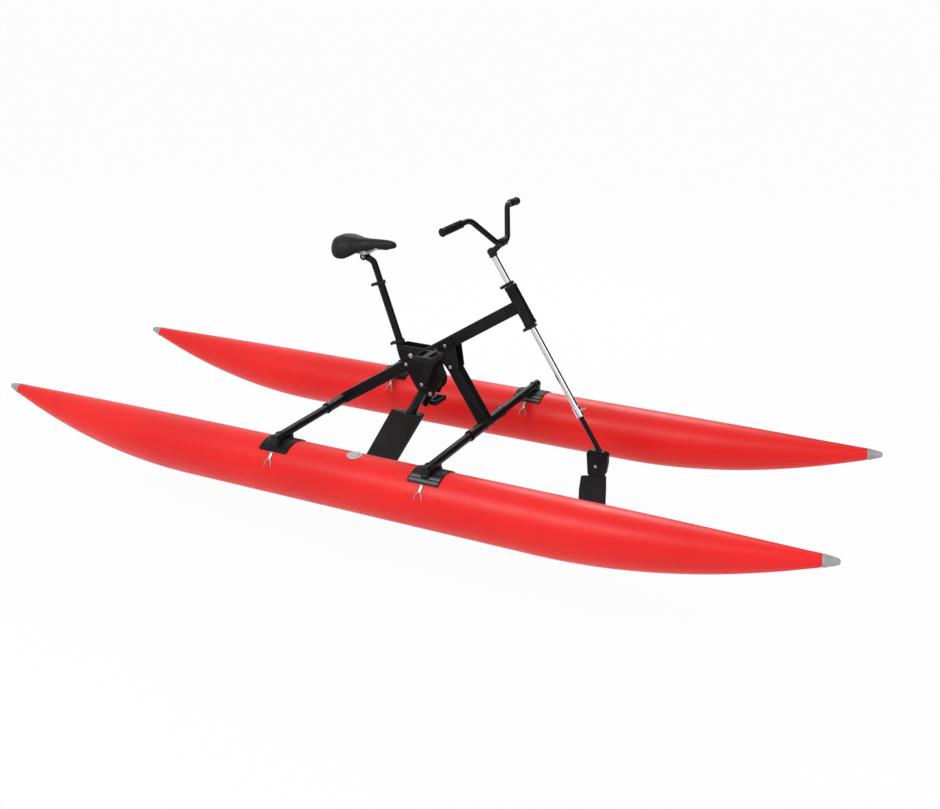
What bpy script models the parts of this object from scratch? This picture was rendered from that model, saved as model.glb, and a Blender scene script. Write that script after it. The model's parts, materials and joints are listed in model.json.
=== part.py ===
"""A water bike: two inflated pontoons under a folding cycle frame with a swinging propeller leg and a rudder.

Metres. +X is the bow, +Y the port side, +Z up. The origin is midship on the centre plane, level with the
undersides of the pontoons. Sizes that can be set by themselves are named once, here at the top.
"""

import math

import bmesh
import bpy
from mathutils import Matrix, Vector

# Clearances
SEAT_GAP = 0.0003
RUN_GAP = 0.0004

# Pontoons
HULL_LENGTH = 3.70
HULL_RADIUS = 0.1172
HULL_TIP_RADIUS = 0.022
HULL_TAPER = 1.00
HULL_SIDES_STEP = 8
CONE_LENGTH = 0.055
CONE_END_RADIUS = 0.013
CONE_RIM = 0.0015
VALVE_RADIUS = 0.031
VALVE_HEIGHT = 0.004

# Pontoon saddles and their clips
PAD_LENGTH = 0.133
PAD_HALF_ANGLE = math.radians(38.0)
PAD_THICKNESS = 0.0035
PAD_RIB_HEIGHT = 0.0016
SOCKET_WIDTH = 0.040
SOCKET_WALL = 0.0035
SOCKET_LENGTH = 0.046
CLIP_WIRE = 0.0018
CLIP_TONGUE_WIDTH = 0.011
CLIP_TONGUE_THICKNESS = 0.002
CLIP_TONGUE_ANGLE = math.radians(13.0)
CLIP_FORK_ANGLE = math.radians(30.0)
CLIP_FORK_SPREAD = 0.032

# Cross tubes and the sleeves that hold them
CROSS_TUBE_RADIUS = 0.0175
CROSS_TUBE_WALL = 0.0022
CROSS_TUBE_LENGTH = 1.062
TUBE_OVERHANG = 0.0515
FRONT_TUBE_X = 0.341
REAR_TUBE_X = -0.3425
SLEEVE_RADIUS = 0.0216
SLEEVE_LENGTH = 0.31

# Main beam, head tube and down tube
BEAM_SIZE = 0.050
BEAM_ROUND = 0.005
BEAM_SLOPE = math.radians(32.4)
HEAD_TUBE_RADIUS = 0.025
HEAD_TUBE_LENGTH = 0.168
HEAD_X = 0.4875
BUSH_FLANGE = 0.0025
BUSH_DEPTH = 0.022
BUSH_WALL = 0.003

# Seat
MAST_X = -0.0616
MAST_Z = 0.5538
MAST_LEAN = math.radians(19.35)
MAST_RADIUS = 0.0159
MAST_WALL = 0.0020
MAST_TOP = 0.2573
MAST_DEPTH = 0.100
SEAT_SOCKET_RADIUS = 0.0196
SEATPOST_RADIUS = 0.0136
SEATPOST_TOP = 0.338
SEATPOST_DEPTH = 0.090
SEATPOST_SETBACK = 0.040
SADDLE_LENGTH = 0.290
SADDLE_WIDTH = 0.165
SADDLE_THICKNESS = 0.052
SADDLE_TOP_Z = 0.990
WING_INNER = 0.48
SADDLE_MIDDLE_X = -0.212
RAIL_RADIUS = 0.0035
RAIL_SPACING = 0.044
RAIL_LIFT = 0.0208
POST_HEAD_RADIUS = 0.0155
POST_HEAD_HALF = 0.017
CLAMP_BLOCK = (0.046, 0.060, 0.016)
CLAMP_BLOCK_LIFT = 0.0201

# Clamp collars with a cam lever
COLLAR_HEIGHT = 0.014
COLLAR_WALL = 0.0055
COLLAR_EAR = 0.020
LEVER_LENGTH = 0.060
LEVER_THICKNESS = 0.0045

# Steering
COLUMN_RADIUS = 0.0125
COLUMN_WALL = 0.0022
COLUMN_TOP = 0.215
COLUMN_BOTTOM = 0.500
STEM_REACH = 0.0647
STEM_RISE = 0.2487
BAR_RADIUS = 0.0111
GRIP_RADIUS = 0.0155
GRIP_LENGTH = 0.118
GRIP_SIDES = 12
KNOB_RADIUS = 0.0055
STOCK_RADIUS = 0.0098
STOCK_DEPTH = 0.120
RUDDER_BOLT = (0.8307, 0.1636)
RUDDER_THICKNESS = 0.006
RUDDER_BOTTOM_Z = -0.160
RUDDER_CHORD = 0.116
RUDDER_TANG = 0.022
RUDDER_PIN = 0.004
RUDDER_HEAD_HEIGHT = 0.106
STOCK_TIP = (0.0110, 0.0573)
CHEEK_THICKNESS = 0.009

# Drive
DRIVE_X = 0.083
DRIVE_Z = 0.410
GUSSET_THICKNESS = 0.005
BOSS_RADIUS = 0.021
BOSS_FACE = 0.058
AXLE_RADIUS = 0.010
CRANK_LENGTH = 0.163
CRANK_ANGLE = math.radians(24.0)
CRANK_FACE = 0.080
CRANK_THICKNESS = 0.012
PEDAL_WIDTH = 0.094
PEDAL_LENGTH = 0.090
PEDAL_HEIGHT = 0.026
PEDAL_CENTRE_Y = 0.135
SPINDLE_RADIUS = 0.006
COVER_RADIUS = 0.0575
LEG_ANGLE = math.radians(30.0)
LEG_LENGTH = 0.647
LEG_RADIUS = 0.020
DRUM_RADIUS = 0.048
DRUM_WALL = 0.0035
LEG_SHAFT_RADIUS = 0.006
FAIRING_CHORD = 0.160
FAIRING_THICKNESS = 0.046
FAIRING_LEAD = 0.066
FAIRING_TOP_Z = 0.240
FAIRING_BOTTOM_Z = -0.070
STOP_BOLT = (0.097, 0.3545)
STOP_BOLT_RADIUS = 0.005

# Gears: the crown gear on the crank axle, then the equal pair at the foot of the leg
CROWN_TEETH = 24
PINION_TEETH = 8
UPPER_MODULE = 0.00333
UPPER_FACE = 0.010
LOWER_TEETH = 12
LOWER_MODULE = 0.00257
LOWER_FACE = 0.009
TOOTH_FILL = 0.36
ADDENDUM = 0.70
DEDENDUM = 1.05

# Lower case and propeller
CASE_RADIUS = 0.027
CASE_WALL = 0.0045
CASE_NOSE = 0.085
CASE_TAIL = 0.050
PROP_SHAFT_RADIUS = 0.006
PROP_RADIUS = 0.140
PROP_HUB_RADIUS = 0.022
PROP_HUB_LENGTH = 0.060
PROP_PITCH = 0.26
PROP_BLADE_THICKNESS = 0.005

# Colours: base colour, metallic, roughness
COLOURS = {
    "hull_red": ((0.80, 0.022, 0.020), 0.0, 0.38),
    "frame_black": ((0.012, 0.012, 0.013), 0.0, 0.42),
    "moulded_black": ((0.020, 0.020, 0.021), 0.0, 0.60),
    "soft_black": ((0.014, 0.014, 0.015), 0.0, 0.75),
    "pad_grey": ((0.060, 0.062, 0.064), 0.0, 0.80),
    "cone_grey": ((0.30, 0.30, 0.31), 0.0, 0.55),
    "valve_grey": ((0.52, 0.52, 0.53), 0.0, 0.50),
    "column_chrome": ((0.62, 0.62, 0.63), 1.0, 0.16),
    "bright_steel": ((0.55, 0.55, 0.56), 1.0, 0.28),
    "cast_alloy": ((0.42, 0.42, 0.43), 1.0, 0.45),
}


# Scene and helpers

for old in list(bpy.data.objects):
    bpy.data.objects.remove(old, do_unlink=True)

PARTS = bpy.data.collections.new("water_bike")
HELPERS = bpy.data.collections.new("cutters")
bpy.context.scene.collection.children.link(PARTS)
bpy.context.scene.collection.children.link(HELPERS)


def material(name, colour):
    """A Principled material of its own for one object."""
    base, metallic, roughness = COLOURS[colour]
    made = bpy.data.materials.new(name)
    made.use_nodes = True
    shader = made.node_tree.nodes["Principled BSDF"]
    shader.inputs["Base Color"].default_value = (*base, 1.0)
    shader.inputs["Metallic"].default_value = metallic
    shader.inputs["Roughness"].default_value = roughness
    return made


def frame_at(origin, up=(0, 0, 1), side=(1, 0, 0)):
    """A placement whose local Z runs along up and whose local X leans to side."""
    z_axis = Vector(up).normalized()
    if z_axis.cross(Vector(side)).length < 1e-6:
        side = (0, 0, 1)
    y_axis = z_axis.cross(Vector(side)).normalized()
    x_axis = y_axis.cross(z_axis)
    turn = Matrix((x_axis, y_axis, z_axis)).transposed().to_4x4()
    return Matrix.Translation(Vector(origin)) @ turn


def side_plane(y):
    """A placement that stands a flat outline up: local X is +X, local Y is +Z, thickness along Y."""
    return frame_at((0, y, 0), up=(0, -1, 0), side=(1, 0, 0))


def add_object(name, mesh, place=None, colour=None):
    made = bpy.data.objects.new(name, mesh)
    made.matrix_world = place or Matrix.Identity(4)
    if colour:
        PARTS.objects.link(made)
        mesh.materials.append(material(name, colour))
        mesh.shade_smooth()
        mesh.set_sharp_from_angle(angle=math.radians(32))
    else:
        HELPERS.objects.link(made)
        made.hide_render = True
        made.display_type = "WIRE"
    return made


def finish_mesh(name, shape):
    bmesh.ops.recalc_face_normals(shape, faces=shape.faces)
    mesh = bpy.data.meshes.new(name)
    shape.to_mesh(mesh)
    shape.free()
    return mesh


def box(name, size, place=None, colour=None, round_edges=0.0):
    """A box centred on its placement, with optional rounded edges."""
    shape = bmesh.new()
    bmesh.ops.create_cube(shape, size=1.0)
    bmesh.ops.scale(shape, vec=size, verts=shape.verts)
    made = add_object(name, finish_mesh(name, shape), place, colour)
    if round_edges:
        bevel = made.modifiers.new("round_edges", "BEVEL")
        bevel.width = round_edges
        bevel.segments = 2
        bevel.use_clamp_overlap = False
    return made


def rod(name, radius, start, end, place=None, colour=None, sides=24):
    """A plain cylinder along local Z from start to end."""
    shape = bmesh.new()
    lift = Matrix.Translation((0, 0, (start + end) / 2))
    bmesh.ops.create_cone(
        shape, cap_ends=True, segments=sides, radius1=radius, radius2=radius, depth=end - start, matrix=lift
    )
    return add_object(name, finish_mesh(name, shape), place, colour)


def turned(name, profile, place=None, colour=None, sides=24):
    """A solid of revolution about local Z from (radius, height) points, listed from the top down the outside."""
    shape = bmesh.new()
    verts = [shape.verts.new((radius, 0, height)) for radius, height in profile]
    edges = [shape.edges.new(pair) for pair in zip(verts, verts[1:])]
    if profile[0][0] > 0:
        edges.append(shape.edges.new((verts[-1], verts[0])))
    bmesh.ops.spin(
        shape,
        geom=verts + edges,
        axis=(0, 0, 1),
        cent=(0, 0, 0),
        angle=math.tau,
        steps=sides,
        use_merge=True,
    )
    bmesh.ops.remove_doubles(shape, verts=shape.verts, dist=1e-6)
    return add_object(name, finish_mesh(name, shape), place, colour)


def outline(name, points, thickness, place=None, colour=None):
    """A flat outline made solid: a filled 2D curve, extruded both ways from its placement."""
    curve = bpy.data.curves.new(name, "CURVE")
    curve.dimensions = "2D"
    curve.fill_mode = "BOTH"
    curve.extrude = thickness / 2
    spline = curve.splines.new("POLY")
    spline.points.add(len(points) - 1)
    for point, (x, y) in zip(spline.points, points):
        point.co = (x, y, 0, 1)
    spline.use_cyclic_u = True
    return from_curve(name, curve, place, colour)


def pipe(name, points, radius, colour=None, sides_step=4, radii=None, place=None):
    """A round wire or tube along the points, with filled ends and an optional radius share at each point."""
    curve = bpy.data.curves.new(name, "CURVE")
    curve.dimensions = "3D"
    curve.bevel_depth = radius
    curve.bevel_resolution = sides_step
    curve.use_fill_caps = True
    curve.twist_mode = "MINIMUM"
    spline = curve.splines.new("POLY")
    spline.points.add(len(points) - 1)
    for index, (x, y, z) in enumerate(points):
        spline.points[index].co = (x, y, z, 1)
        spline.points[index].radius = radii[index] if radii else 1.0
    return from_curve(name, curve, place, colour)


def from_curve(name, curve, place, colour):
    """Turns a curve into a welded mesh object and removes the curve."""
    drawn = bpy.data.objects.new(name + "_curve", curve)
    HELPERS.objects.link(drawn)
    seen = drawn.evaluated_get(bpy.context.evaluated_depsgraph_get())
    mesh = bpy.data.meshes.new_from_object(seen)
    bpy.data.objects.remove(drawn)
    shape = bmesh.new()
    shape.from_mesh(mesh)
    bpy.data.meshes.remove(mesh)
    bmesh.ops.remove_doubles(shape, verts=shape.verts, dist=2e-6)
    bmesh.ops.dissolve_degenerate(shape, dist=1e-6, edges=shape.edges)
    return add_object(name, finish_mesh(name, shape), place, colour)


def cut(target, *cutters):
    for cutter in cutters:
        step = target.modifiers.new("cut_" + cutter.name, "BOOLEAN")
        step.operation = "DIFFERENCE"
        step.object = cutter
    return target


def join(target, *pieces):
    for piece in pieces:
        step = target.modifiers.new("join_" + piece.name, "BOOLEAN")
        step.operation = "UNION"
        step.object = piece
    return target


def joint_empty(name, origin, up=(0, 0, 1)):
    """An empty on a joint's axis, which carries the pieces of one moving body."""
    empty = bpy.data.objects.new(name, None)
    empty.empty_display_size = 0.04
    empty.matrix_world = frame_at(origin, up, (0, 1, 0) if abs(up[1]) < 0.9 else (1, 0, 0))
    PARTS.objects.link(empty)
    return empty


def carry(empty, *pieces):
    for piece in pieces:
        piece.parent = empty
        piece.matrix_parent_inverse = empty.matrix_world.inverted()


def fillet(points, radius, steps=3):
    """The outline with each corner rounded by an arc, or by as much as its sides allow."""
    rounded = []
    count = len(points)
    for index in range(count):
        corner = Vector(points[index])
        back = Vector(points[index - 1]) - corner
        ahead = Vector(points[(index + 1) % count]) - corner
        half = back.angle(ahead) / 2
        reach = min(radius / math.tan(half), 0.45 * back.length, 0.45 * ahead.length)
        size = reach * math.tan(half)
        centre = corner + (back.normalized() + ahead.normalized()).normalized() * size / math.sin(half)
        start = corner + back.normalized() * reach - centre
        end = corner + ahead.normalized() * reach - centre
        sweep = start.angle(end)
        turn = 1 if start.x * end.y - start.y * end.x > 0 else -1
        for step in range(steps + 1):
            angle = turn * sweep * step / steps
            arm = Matrix.Rotation(angle, 2) @ start
            rounded.append(tuple(centre + arm))
    return rounded


def smooth_path(points, steps=6):
    """A smooth curve through hand-set points, by Catmull-Rom."""
    line = [Vector(p) for p in points]
    ends = [2 * line[0] - line[1]] + line + [2 * line[-1] - line[-2]]
    path = []
    for a, b, c, d in zip(ends, ends[1:], ends[2:], ends[3:]):
        for step in range(steps):
            t = step / steps
            path.append(
                0.5 * (2 * b + (c - a) * t + (2 * a - 5 * b + 4 * c - d) * t * t + (3 * b - a - 3 * c + d) * t**3)
            )
    path.append(line[-1])
    return path


# Pontoons


def hull_radius(distance):
    """Radius at a distance from the tapered end, which grows by a parabola to the full radius."""
    share = min(max(distance / HULL_TAPER, 0.0), 1.0)
    return HULL_RADIUS - (HULL_RADIUS - HULL_TIP_RADIUS) * (1 - share) ** 2


HULL_TOP = 2 * HULL_RADIUS
HULL_HALF = HULL_LENGTH / 2 - CONE_LENGTH
STATIONS = 8


def hull_stations():
    ends = [HULL_TAPER * (i / (STATIONS - 1)) for i in range(STATIONS)]
    stern = [(-HULL_HALF + s, hull_radius(s)) for s in ends]
    bow = [(HULL_HALF - s, hull_radius(s)) for s in reversed(ends)]
    return stern + bow


def make_hull(side_name, y):
    stations = hull_stations()
    points = [(x, y, HULL_TOP - r) for x, r in stations]
    shares = [r / HULL_RADIUS for x, r in stations]
    pipe(f"hull_{side_name}", points, HULL_RADIUS, "hull_red", HULL_SIDES_STEP, shares)


def make_end_cone(name, y, end):
    """A moulded cone that closes one end of a pontoon, its top in line with the pontoon's."""
    climb = (HULL_TIP_RADIUS - CONE_END_RADIUS) / CONE_LENGTH
    direction = (end, 0, climb)
    base = (end * (HULL_HALF + SEAT_GAP), y, HULL_TOP - HULL_TIP_RADIUS)
    place = frame_at(base, direction, (0, 1, 0))
    nose_start = CONE_LENGTH - CONE_END_RADIUS
    nose = [
        (CONE_END_RADIUS * math.sin(math.radians(a)), nose_start + CONE_END_RADIUS * math.cos(math.radians(a)))
        for a in (0, 30, 60, 90)
    ]
    nose[0] = (0.0, CONE_LENGTH)
    rim = HULL_TIP_RADIUS + CONE_RIM
    profile = nose + [(HULL_TIP_RADIUS, 0.008), (rim, 0.006), (rim, 0.001), (rim - 0.001, 0.0), (0.0, 0.0)]
    turned(name, profile, place, "cone_grey", 12)


def hull_core(name, y, radius, length=0.4, x=0.0):
    """A cylinder along a pontoon's middle, to cut what lies on the pontoon to its curve."""
    place = frame_at((x, y, HULL_TOP - HULL_RADIUS), (1, 0, 0), (0, 1, 0))
    return rod(name, radius, -length / 2, length / 2, place, sides=48)


def make_valve(side_name, y):
    top = HULL_TOP + VALVE_HEIGHT
    profile = [
        (0.0, top + 0.002),
        (0.016, top + 0.002),
        (0.018, top),
        (0.020, top),
        (0.0215, top + 0.0015),
        (VALVE_RADIUS - 0.003, top),
        (VALVE_RADIUS, top - 0.003),
        (VALVE_RADIUS, HULL_TOP - 0.012),
        (0.0, HULL_TOP - 0.012),
    ]
    valve = turned(f"valve_{side_name}", profile, frame_at((0, y, 0)), "valve_grey", 16)
    cut(valve, hull_core(f"valve_bed_{side_name}", y, HULL_RADIUS + SEAT_GAP))


# Saddles

TUBE_Z = HULL_TOP + PAD_THICKNESS + CROSS_TUBE_RADIUS


def arc(radius, start, end, steps):
    """Points on an arc about the pontoon's axis, angles from straight up."""
    angles = [start + (end - start) * i / steps for i in range(steps + 1)]
    return [(radius * math.sin(a), radius * math.cos(a)) for a in angles]


def make_saddle(name, x, y, out):
    """A curved rubber pad with grip ribs and a socket block, bored for the cross tube's end."""
    inner = HULL_RADIUS + SEAT_GAP
    outer = inner + PAD_THICKNESS - SEAT_GAP
    lie = Matrix.Translation((x, y, HULL_TOP - HULL_RADIUS)) @ frame_at((0, 0, 0), (1, 0, 0), (0, 1, 0))
    deep = inner - 0.003
    section = arc(outer, -PAD_HALF_ANGLE, PAD_HALF_ANGLE, 7) + arc(deep, PAD_HALF_ANGLE, -PAD_HALF_ANGLE, 7)
    pad = outline(name, section, PAD_LENGTH, lie, "pad_grey")
    for index, degrees in enumerate((-33, -24, 24, 33)):
        middle = math.radians(degrees)
        half = math.radians(2.4)
        top = outer + PAD_RIB_HEIGHT
        rib = arc(top, middle - half, middle + half, 1) + arc(outer - 0.001, middle + half, middle - half, 1)
        join(pad, outline(f"{name}_rib_{index}", rib, PAD_LENGTH - 0.010, lie))
    block_top = TUBE_Z + CROSS_TUBE_RADIUS + SOCKET_WALL
    end_y = y + out * (CROSS_TUBE_LENGTH / 2 - abs(y) + SOCKET_WALL)
    block_z = HULL_TOP - 0.022
    block = box(
        f"{name}_block",
        (SOCKET_WIDTH, SOCKET_LENGTH, block_top - block_z),
        Matrix.Translation((x, end_y - out * SOCKET_LENGTH / 2, (block_top + block_z) / 2)),
        round_edges=0.009,
    )
    cradle_top = TUBE_Z - 0.004
    cradle = box(
        f"{name}_cradle",
        (SOCKET_WIDTH * 0.8, 0.075, cradle_top - block_z),
        Matrix.Translation((x, y - out * 0.022, (cradle_top + block_z) / 2)),
    )
    join(pad, block, cradle)
    bore = rod(
        f"{name}_bore",
        CROSS_TUBE_RADIUS + SEAT_GAP,
        -0.3,
        CROSS_TUBE_LENGTH / 2 - abs(y) + SEAT_GAP,
        frame_at((x, y, TUBE_Z), (0, out, 0)),
        sides=20,
    )
    cut(pad, hull_core(f"{name}_bed", y, inner, x=x), bore)


def make_clip(name, x, y, out):
    """A bright tongue with a wire fork, hinged at a pad's edge and lying down the pontoon's side."""
    radius = HULL_RADIUS + PAD_THICKNESS - 0.001
    start = PAD_HALF_ANGLE + 0.0045 / radius

    def at(angle, along, lift=0.0):
        reach = radius + lift
        return Vector((x + along, y + out * reach * math.sin(angle), HULL_TOP - HULL_RADIUS + reach * math.cos(angle)))

    hinge = joint_empty("joint_" + name, at(start, 0), (1, 0, 0))
    half = CLIP_TONGUE_WIDTH / 2
    barrel = pipe(name, [at(start, -half - 0.002), at(start, half + 0.002)], 0.0026, "bright_steel", 1)
    fork_start = start + CLIP_TONGUE_ANGLE
    end = start + CLIP_FORK_ANGLE
    spread = CLIP_FORK_SPREAD / 2
    lie = Matrix.Translation((x, y, HULL_TOP - HULL_RADIUS)) @ frame_at((0, 0, 0), (1, 0, 0), (0, 1, 0))
    upper, lower = radius + CLIP_TONGUE_THICKNESS / 2, radius - CLIP_TONGUE_THICKNESS / 2
    strip = arc(upper, out * start, out * (fork_start + 0.02), 2) + arc(lower, out * (fork_start + 0.02), out * start, 2)
    tongue = outline(f"{name}_tongue", strip, CLIP_TONGUE_WIDTH, lie)
    legs = [
        at(end, -spread),
        at(fork_start + 0.10, -spread * 0.75),
        at(fork_start + 0.01, -spread * 0.30),
        at(fork_start + 0.01, spread * 0.30),
        at(fork_start + 0.10, spread * 0.75),
        at(end, spread),
    ]
    fork = pipe(f"{name}_fork", legs, CLIP_WIRE, sides_step=1)
    join(barrel, tongue, fork)
    carry(hinge, barrel)


# Frame

BEAM_DIRECTION = Vector((math.cos(BEAM_SLOPE), 0, math.sin(BEAM_SLOPE)))
STEER_UP = Vector((-math.sin(BEAM_SLOPE), 0, math.cos(BEAM_SLOPE)))
REAR_TUBE = Vector((REAR_TUBE_X, 0, TUBE_Z))
FRONT_TUBE = Vector((FRONT_TUBE_X, 0, TUBE_Z))
BEAM_LENGTH = (HEAD_X - REAR_TUBE_X) / math.cos(BEAM_SLOPE)
HEAD = REAR_TUBE + BEAM_DIRECTION * BEAM_LENGTH
MAST_UP = Vector((-math.sin(MAST_LEAN), 0, math.cos(MAST_LEAN)))
MAST = Vector((MAST_X, 0, MAST_Z))
PLATE_OUT = BEAM_SIZE / 2 + SEAT_GAP + GUSSET_THICKNESS
DRIVE = Vector((DRIVE_X, 0, DRIVE_Z))
HEAD_BORE = COLUMN_RADIUS + BUSH_WALL + 2 * SEAT_GAP


def make_cross_tube(name, x):
    outer, inner, half = CROSS_TUBE_RADIUS, CROSS_TUBE_RADIUS - CROSS_TUBE_WALL, CROSS_TUBE_LENGTH / 2
    profile = [(inner, half), (outer, half), (outer, -half), (inner, -half)]
    turned(name, profile, frame_at((x, 0, TUBE_Z), (0, 1, 0)), "frame_black", 20)


def make_sleeve(name, centre, target):
    """Welds a sleeve across the frame and bores it for its cross tube."""
    place = frame_at(centre, (0, 1, 0))
    half = SLEEVE_LENGTH / 2
    join(target, rod(f"{name}_sleeve", SLEEVE_RADIUS, -half, half, place, sides=20))
    return rod(f"{name}_bore", CROSS_TUBE_RADIUS + SEAT_GAP, -half - 0.01, half + 0.01, place, sides=20)


def seat_bore_depth():
    """How far down the mast's axis the socket runs, to just past the beam's underside."""
    beam_point = REAR_TUBE + BEAM_DIRECTION * ((MAST_X - REAR_TUBE_X) / math.cos(BEAM_SLOPE))
    drop = (MAST - beam_point).dot(STEER_UP) + BEAM_SIZE / 2
    return drop / MAST_UP.dot(STEER_UP) + 0.006


def make_main_frame():
    middle = REAR_TUBE + BEAM_DIRECTION * BEAM_LENGTH / 2
    place = frame_at(middle, STEER_UP, BEAM_DIRECTION)
    beam = box("main_frame", (BEAM_LENGTH, BEAM_SIZE, BEAM_SIZE), place, "frame_black", BEAM_ROUND)
    rear_bore = make_sleeve("rear", REAR_TUBE, beam)
    head_place = frame_at(HEAD, STEER_UP)
    half = HEAD_TUBE_LENGTH / 2
    head_tube = rod("head_tube", HEAD_TUBE_RADIUS, -half, half, head_place, sides=24)
    head_bore = rod("head_bore", HEAD_BORE, -half - 0.01, half + 0.01, head_place, sides=24)
    mast_place = frame_at(MAST, MAST_UP)
    depth = seat_bore_depth()
    top = -COLLAR_HEIGHT / 2 - SEAT_GAP
    socket = rod("seat_socket", SEAT_SOCKET_RADIUS, -depth, top, mast_place, sides=24)
    seat_bore = rod("seat_bore", MAST_RADIUS + SEAT_GAP, -depth - 0.02, top + 0.02, mast_place, sides=24)
    join(beam, head_tube, socket)
    cut(beam, rear_bore, head_bore, seat_bore)


def make_down_tube():
    drop = (FRONT_TUBE - REAR_TUBE).dot(-STEER_UP)
    length = drop - BEAM_SIZE / 2 - SEAT_GAP
    place = frame_at(FRONT_TUBE + STEER_UP * length / 2, STEER_UP)
    tube = box("down_tube", (BEAM_SIZE, BEAM_SIZE, length), place, "frame_black", BEAM_ROUND)
    cut(tube, make_sleeve("front", FRONT_TUBE, tube))


GUSSET_OUTLINE = [
    (-0.0755, 0.5362),
    (-0.0397, 0.5488),
    (0.0735, 0.5475),
    (0.1870, 0.6190),
    (0.2135, 0.5770),
    (0.2265, 0.4840),
    (0.1890, 0.4600),
    (0.1500, 0.5100),
    (0.1710, 0.4490),
    (0.1250, 0.3830),
    (0.1120, 0.3430),
    (0.0850, 0.3430),
    (0.0347, 0.3629),
    (-0.0056, 0.4252),
    (-0.0580, 0.4900),
]


def make_gusset(name, out):
    """A folded-edge side plate with a bearing boss round the crank axle."""
    middle_y = out * (PLATE_OUT - GUSSET_THICKNESS / 2)
    plate = outline(name, fillet(GUSSET_OUTLINE, 0.006, 2), GUSSET_THICKNESS, side_plane(middle_y), "frame_black")
    place = frame_at(DRIVE, (0, out, 0))
    start = PLATE_OUT - GUSSET_THICKNESS + 0.001
    boss = turned(
        f"{name}_boss",
        [(0.0, BOSS_FACE), (BOSS_RADIUS - 0.002, BOSS_FACE), (BOSS_RADIUS, BOSS_FACE - 0.002), (BOSS_RADIUS, start), (0.0, start)],
        place,
        sides=20,
    )
    join(plate, boss)
    stop_x, stop_z = STOP_BOLT
    stop_place = frame_at((stop_x, 0, stop_z), (0, out, 0))
    cut(
        plate,
        rod(f"{name}_axle_bore", AXLE_RADIUS + SEAT_GAP, 0, 0.1, place, sides=16),
        rod(f"{name}_stop_bore", STOP_BOLT_RADIUS + SEAT_GAP, 0, 0.1, stop_place, sides=16),
    )


def make_stop_bolt():
    x, z = STOP_BOLT
    inner, head, end = PLATE_OUT + SEAT_GAP, 0.008, PLATE_OUT + SEAT_GAP + 0.0045
    r = STOP_BOLT_RADIUS
    profile = [(0.0, end), (head, end), (head, inner), (r, inner), (r, -inner), (head, -inner), (head, -end), (0.0, -end)]
    turned("stop_bolt", profile, frame_at((x, 0, z), (0, 1, 0)), "bright_steel", 12)


def make_drive_cover():
    """A dished round cover over the port side of the crank bearing."""
    base = PLATE_OUT + SEAT_GAP
    hole = BOSS_RADIUS + SEAT_GAP
    profile = [
        (hole, base + 0.004),
        (0.032, base + 0.004),
        (0.046, base + 0.010),
        (COVER_RADIUS - 0.002, base + 0.010),
        (COVER_RADIUS, base + 0.009),
        (COVER_RADIUS, base + 0.0065),
        (0.047, base + 0.0065),
        (0.033, base),
        (hole, base),
    ]
    turned("drive_cover", profile, frame_at(DRIVE, (0, 1, 0)), "moulded_black", 20)


def make_head_bush(name, end):
    half = HEAD_TUBE_LENGTH / 2 + SEAT_GAP
    inner, outer = COLUMN_RADIUS + SEAT_GAP, COLUMN_RADIUS + SEAT_GAP + BUSH_WALL
    flange = HEAD_TUBE_RADIUS + 0.001
    profile = [
        (inner, half + BUSH_FLANGE),
        (flange - 0.001, half + BUSH_FLANGE),
        (flange, half + BUSH_FLANGE - 0.001),
        (flange, half),
        (outer, half),
        (outer, half - BUSH_DEPTH),
        (inner, half - BUSH_DEPTH),
    ]
    turned(name, profile, frame_at(HEAD, STEER_UP * end), "moulded_black", 16)


# Clamp collars


def make_collar(name, place, bore_radius):
    """A split collar with a rear ear; the ear's slot runs through to the bore."""
    inner, outer, half = bore_radius + SEAT_GAP, bore_radius + COLLAR_WALL, COLLAR_HEIGHT / 2
    profile = [(inner, half), (outer - 0.001, half), (outer, half - 0.001), (outer, 0.001 - half), (outer - 0.001, -half), (inner, -half)]
    ring = turned(name, profile, place, "frame_black", 20)
    ear_length = COLLAR_EAR + COLLAR_WALL - 0.001
    ear_x = -(inner + 0.001 + ear_length / 2)
    ear = box(f"{name}_ear", (ear_length, 0.018, COLLAR_HEIGHT - 0.001), place @ Matrix.Translation((ear_x, 0, 0)))
    slot = box(f"{name}_slot", (0.06, 0.002, COLLAR_HEIGHT + 0.01), place @ Matrix.Translation((-inner - 0.028, 0, 0)))
    join(ring, ear)
    cut(ring, slot)
    return ring


def cam_centre(bore_radius):
    return Vector((-(bore_radius + COLLAR_WALL + COLLAR_EAR - 0.009), -(0.009 + 0.0065 + SEAT_GAP), 0))


def make_cam_lever(name, place, bore_radius):
    """A cam lever that lies round the starboard side of its collar and swings out."""
    pivot = cam_centre(bore_radius)
    side = -(bore_radius + COLLAR_WALL + 0.0012)
    reach = pivot.x + LEVER_LENGTH
    thick = LEVER_THICKNESS
    cam = [(0.0065 * math.cos(a), 0.0065 * math.sin(a)) for a in (math.radians(90 + 22.5 * i) for i in range(9))]
    under = [
        (0.0, -0.0065),
        (-0.011 - pivot.x, side - thick - pivot.y),
        (0.008 - pivot.x, side - thick - pivot.y),
        (reach - pivot.x, side - thick + 0.006 - pivot.y),
    ]
    over = [
        (reach - pivot.x + 0.001, side + 0.006 - pivot.y),
        (0.010 - pivot.x, side - pivot.y),
        (-0.010 - pivot.x, side - pivot.y),
        (0.006, 0.001),
        (0.0055, 0.004),
    ]
    lever_place = place @ Matrix.Translation(pivot)
    lever = outline(name, cam + under[1:] + over, 0.009, lever_place, "moulded_black")
    hinge = joint_empty("joint_" + name, lever_place.translation, lever_place.col[2].to_3d())
    carry(hinge, lever)
    return lever


# Seat


def along_mast(distance, forward=0.0):
    ahead = Vector((math.cos(MAST_LEAN), 0, math.sin(MAST_LEAN)))
    return MAST + MAST_UP * distance + ahead * forward


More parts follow.
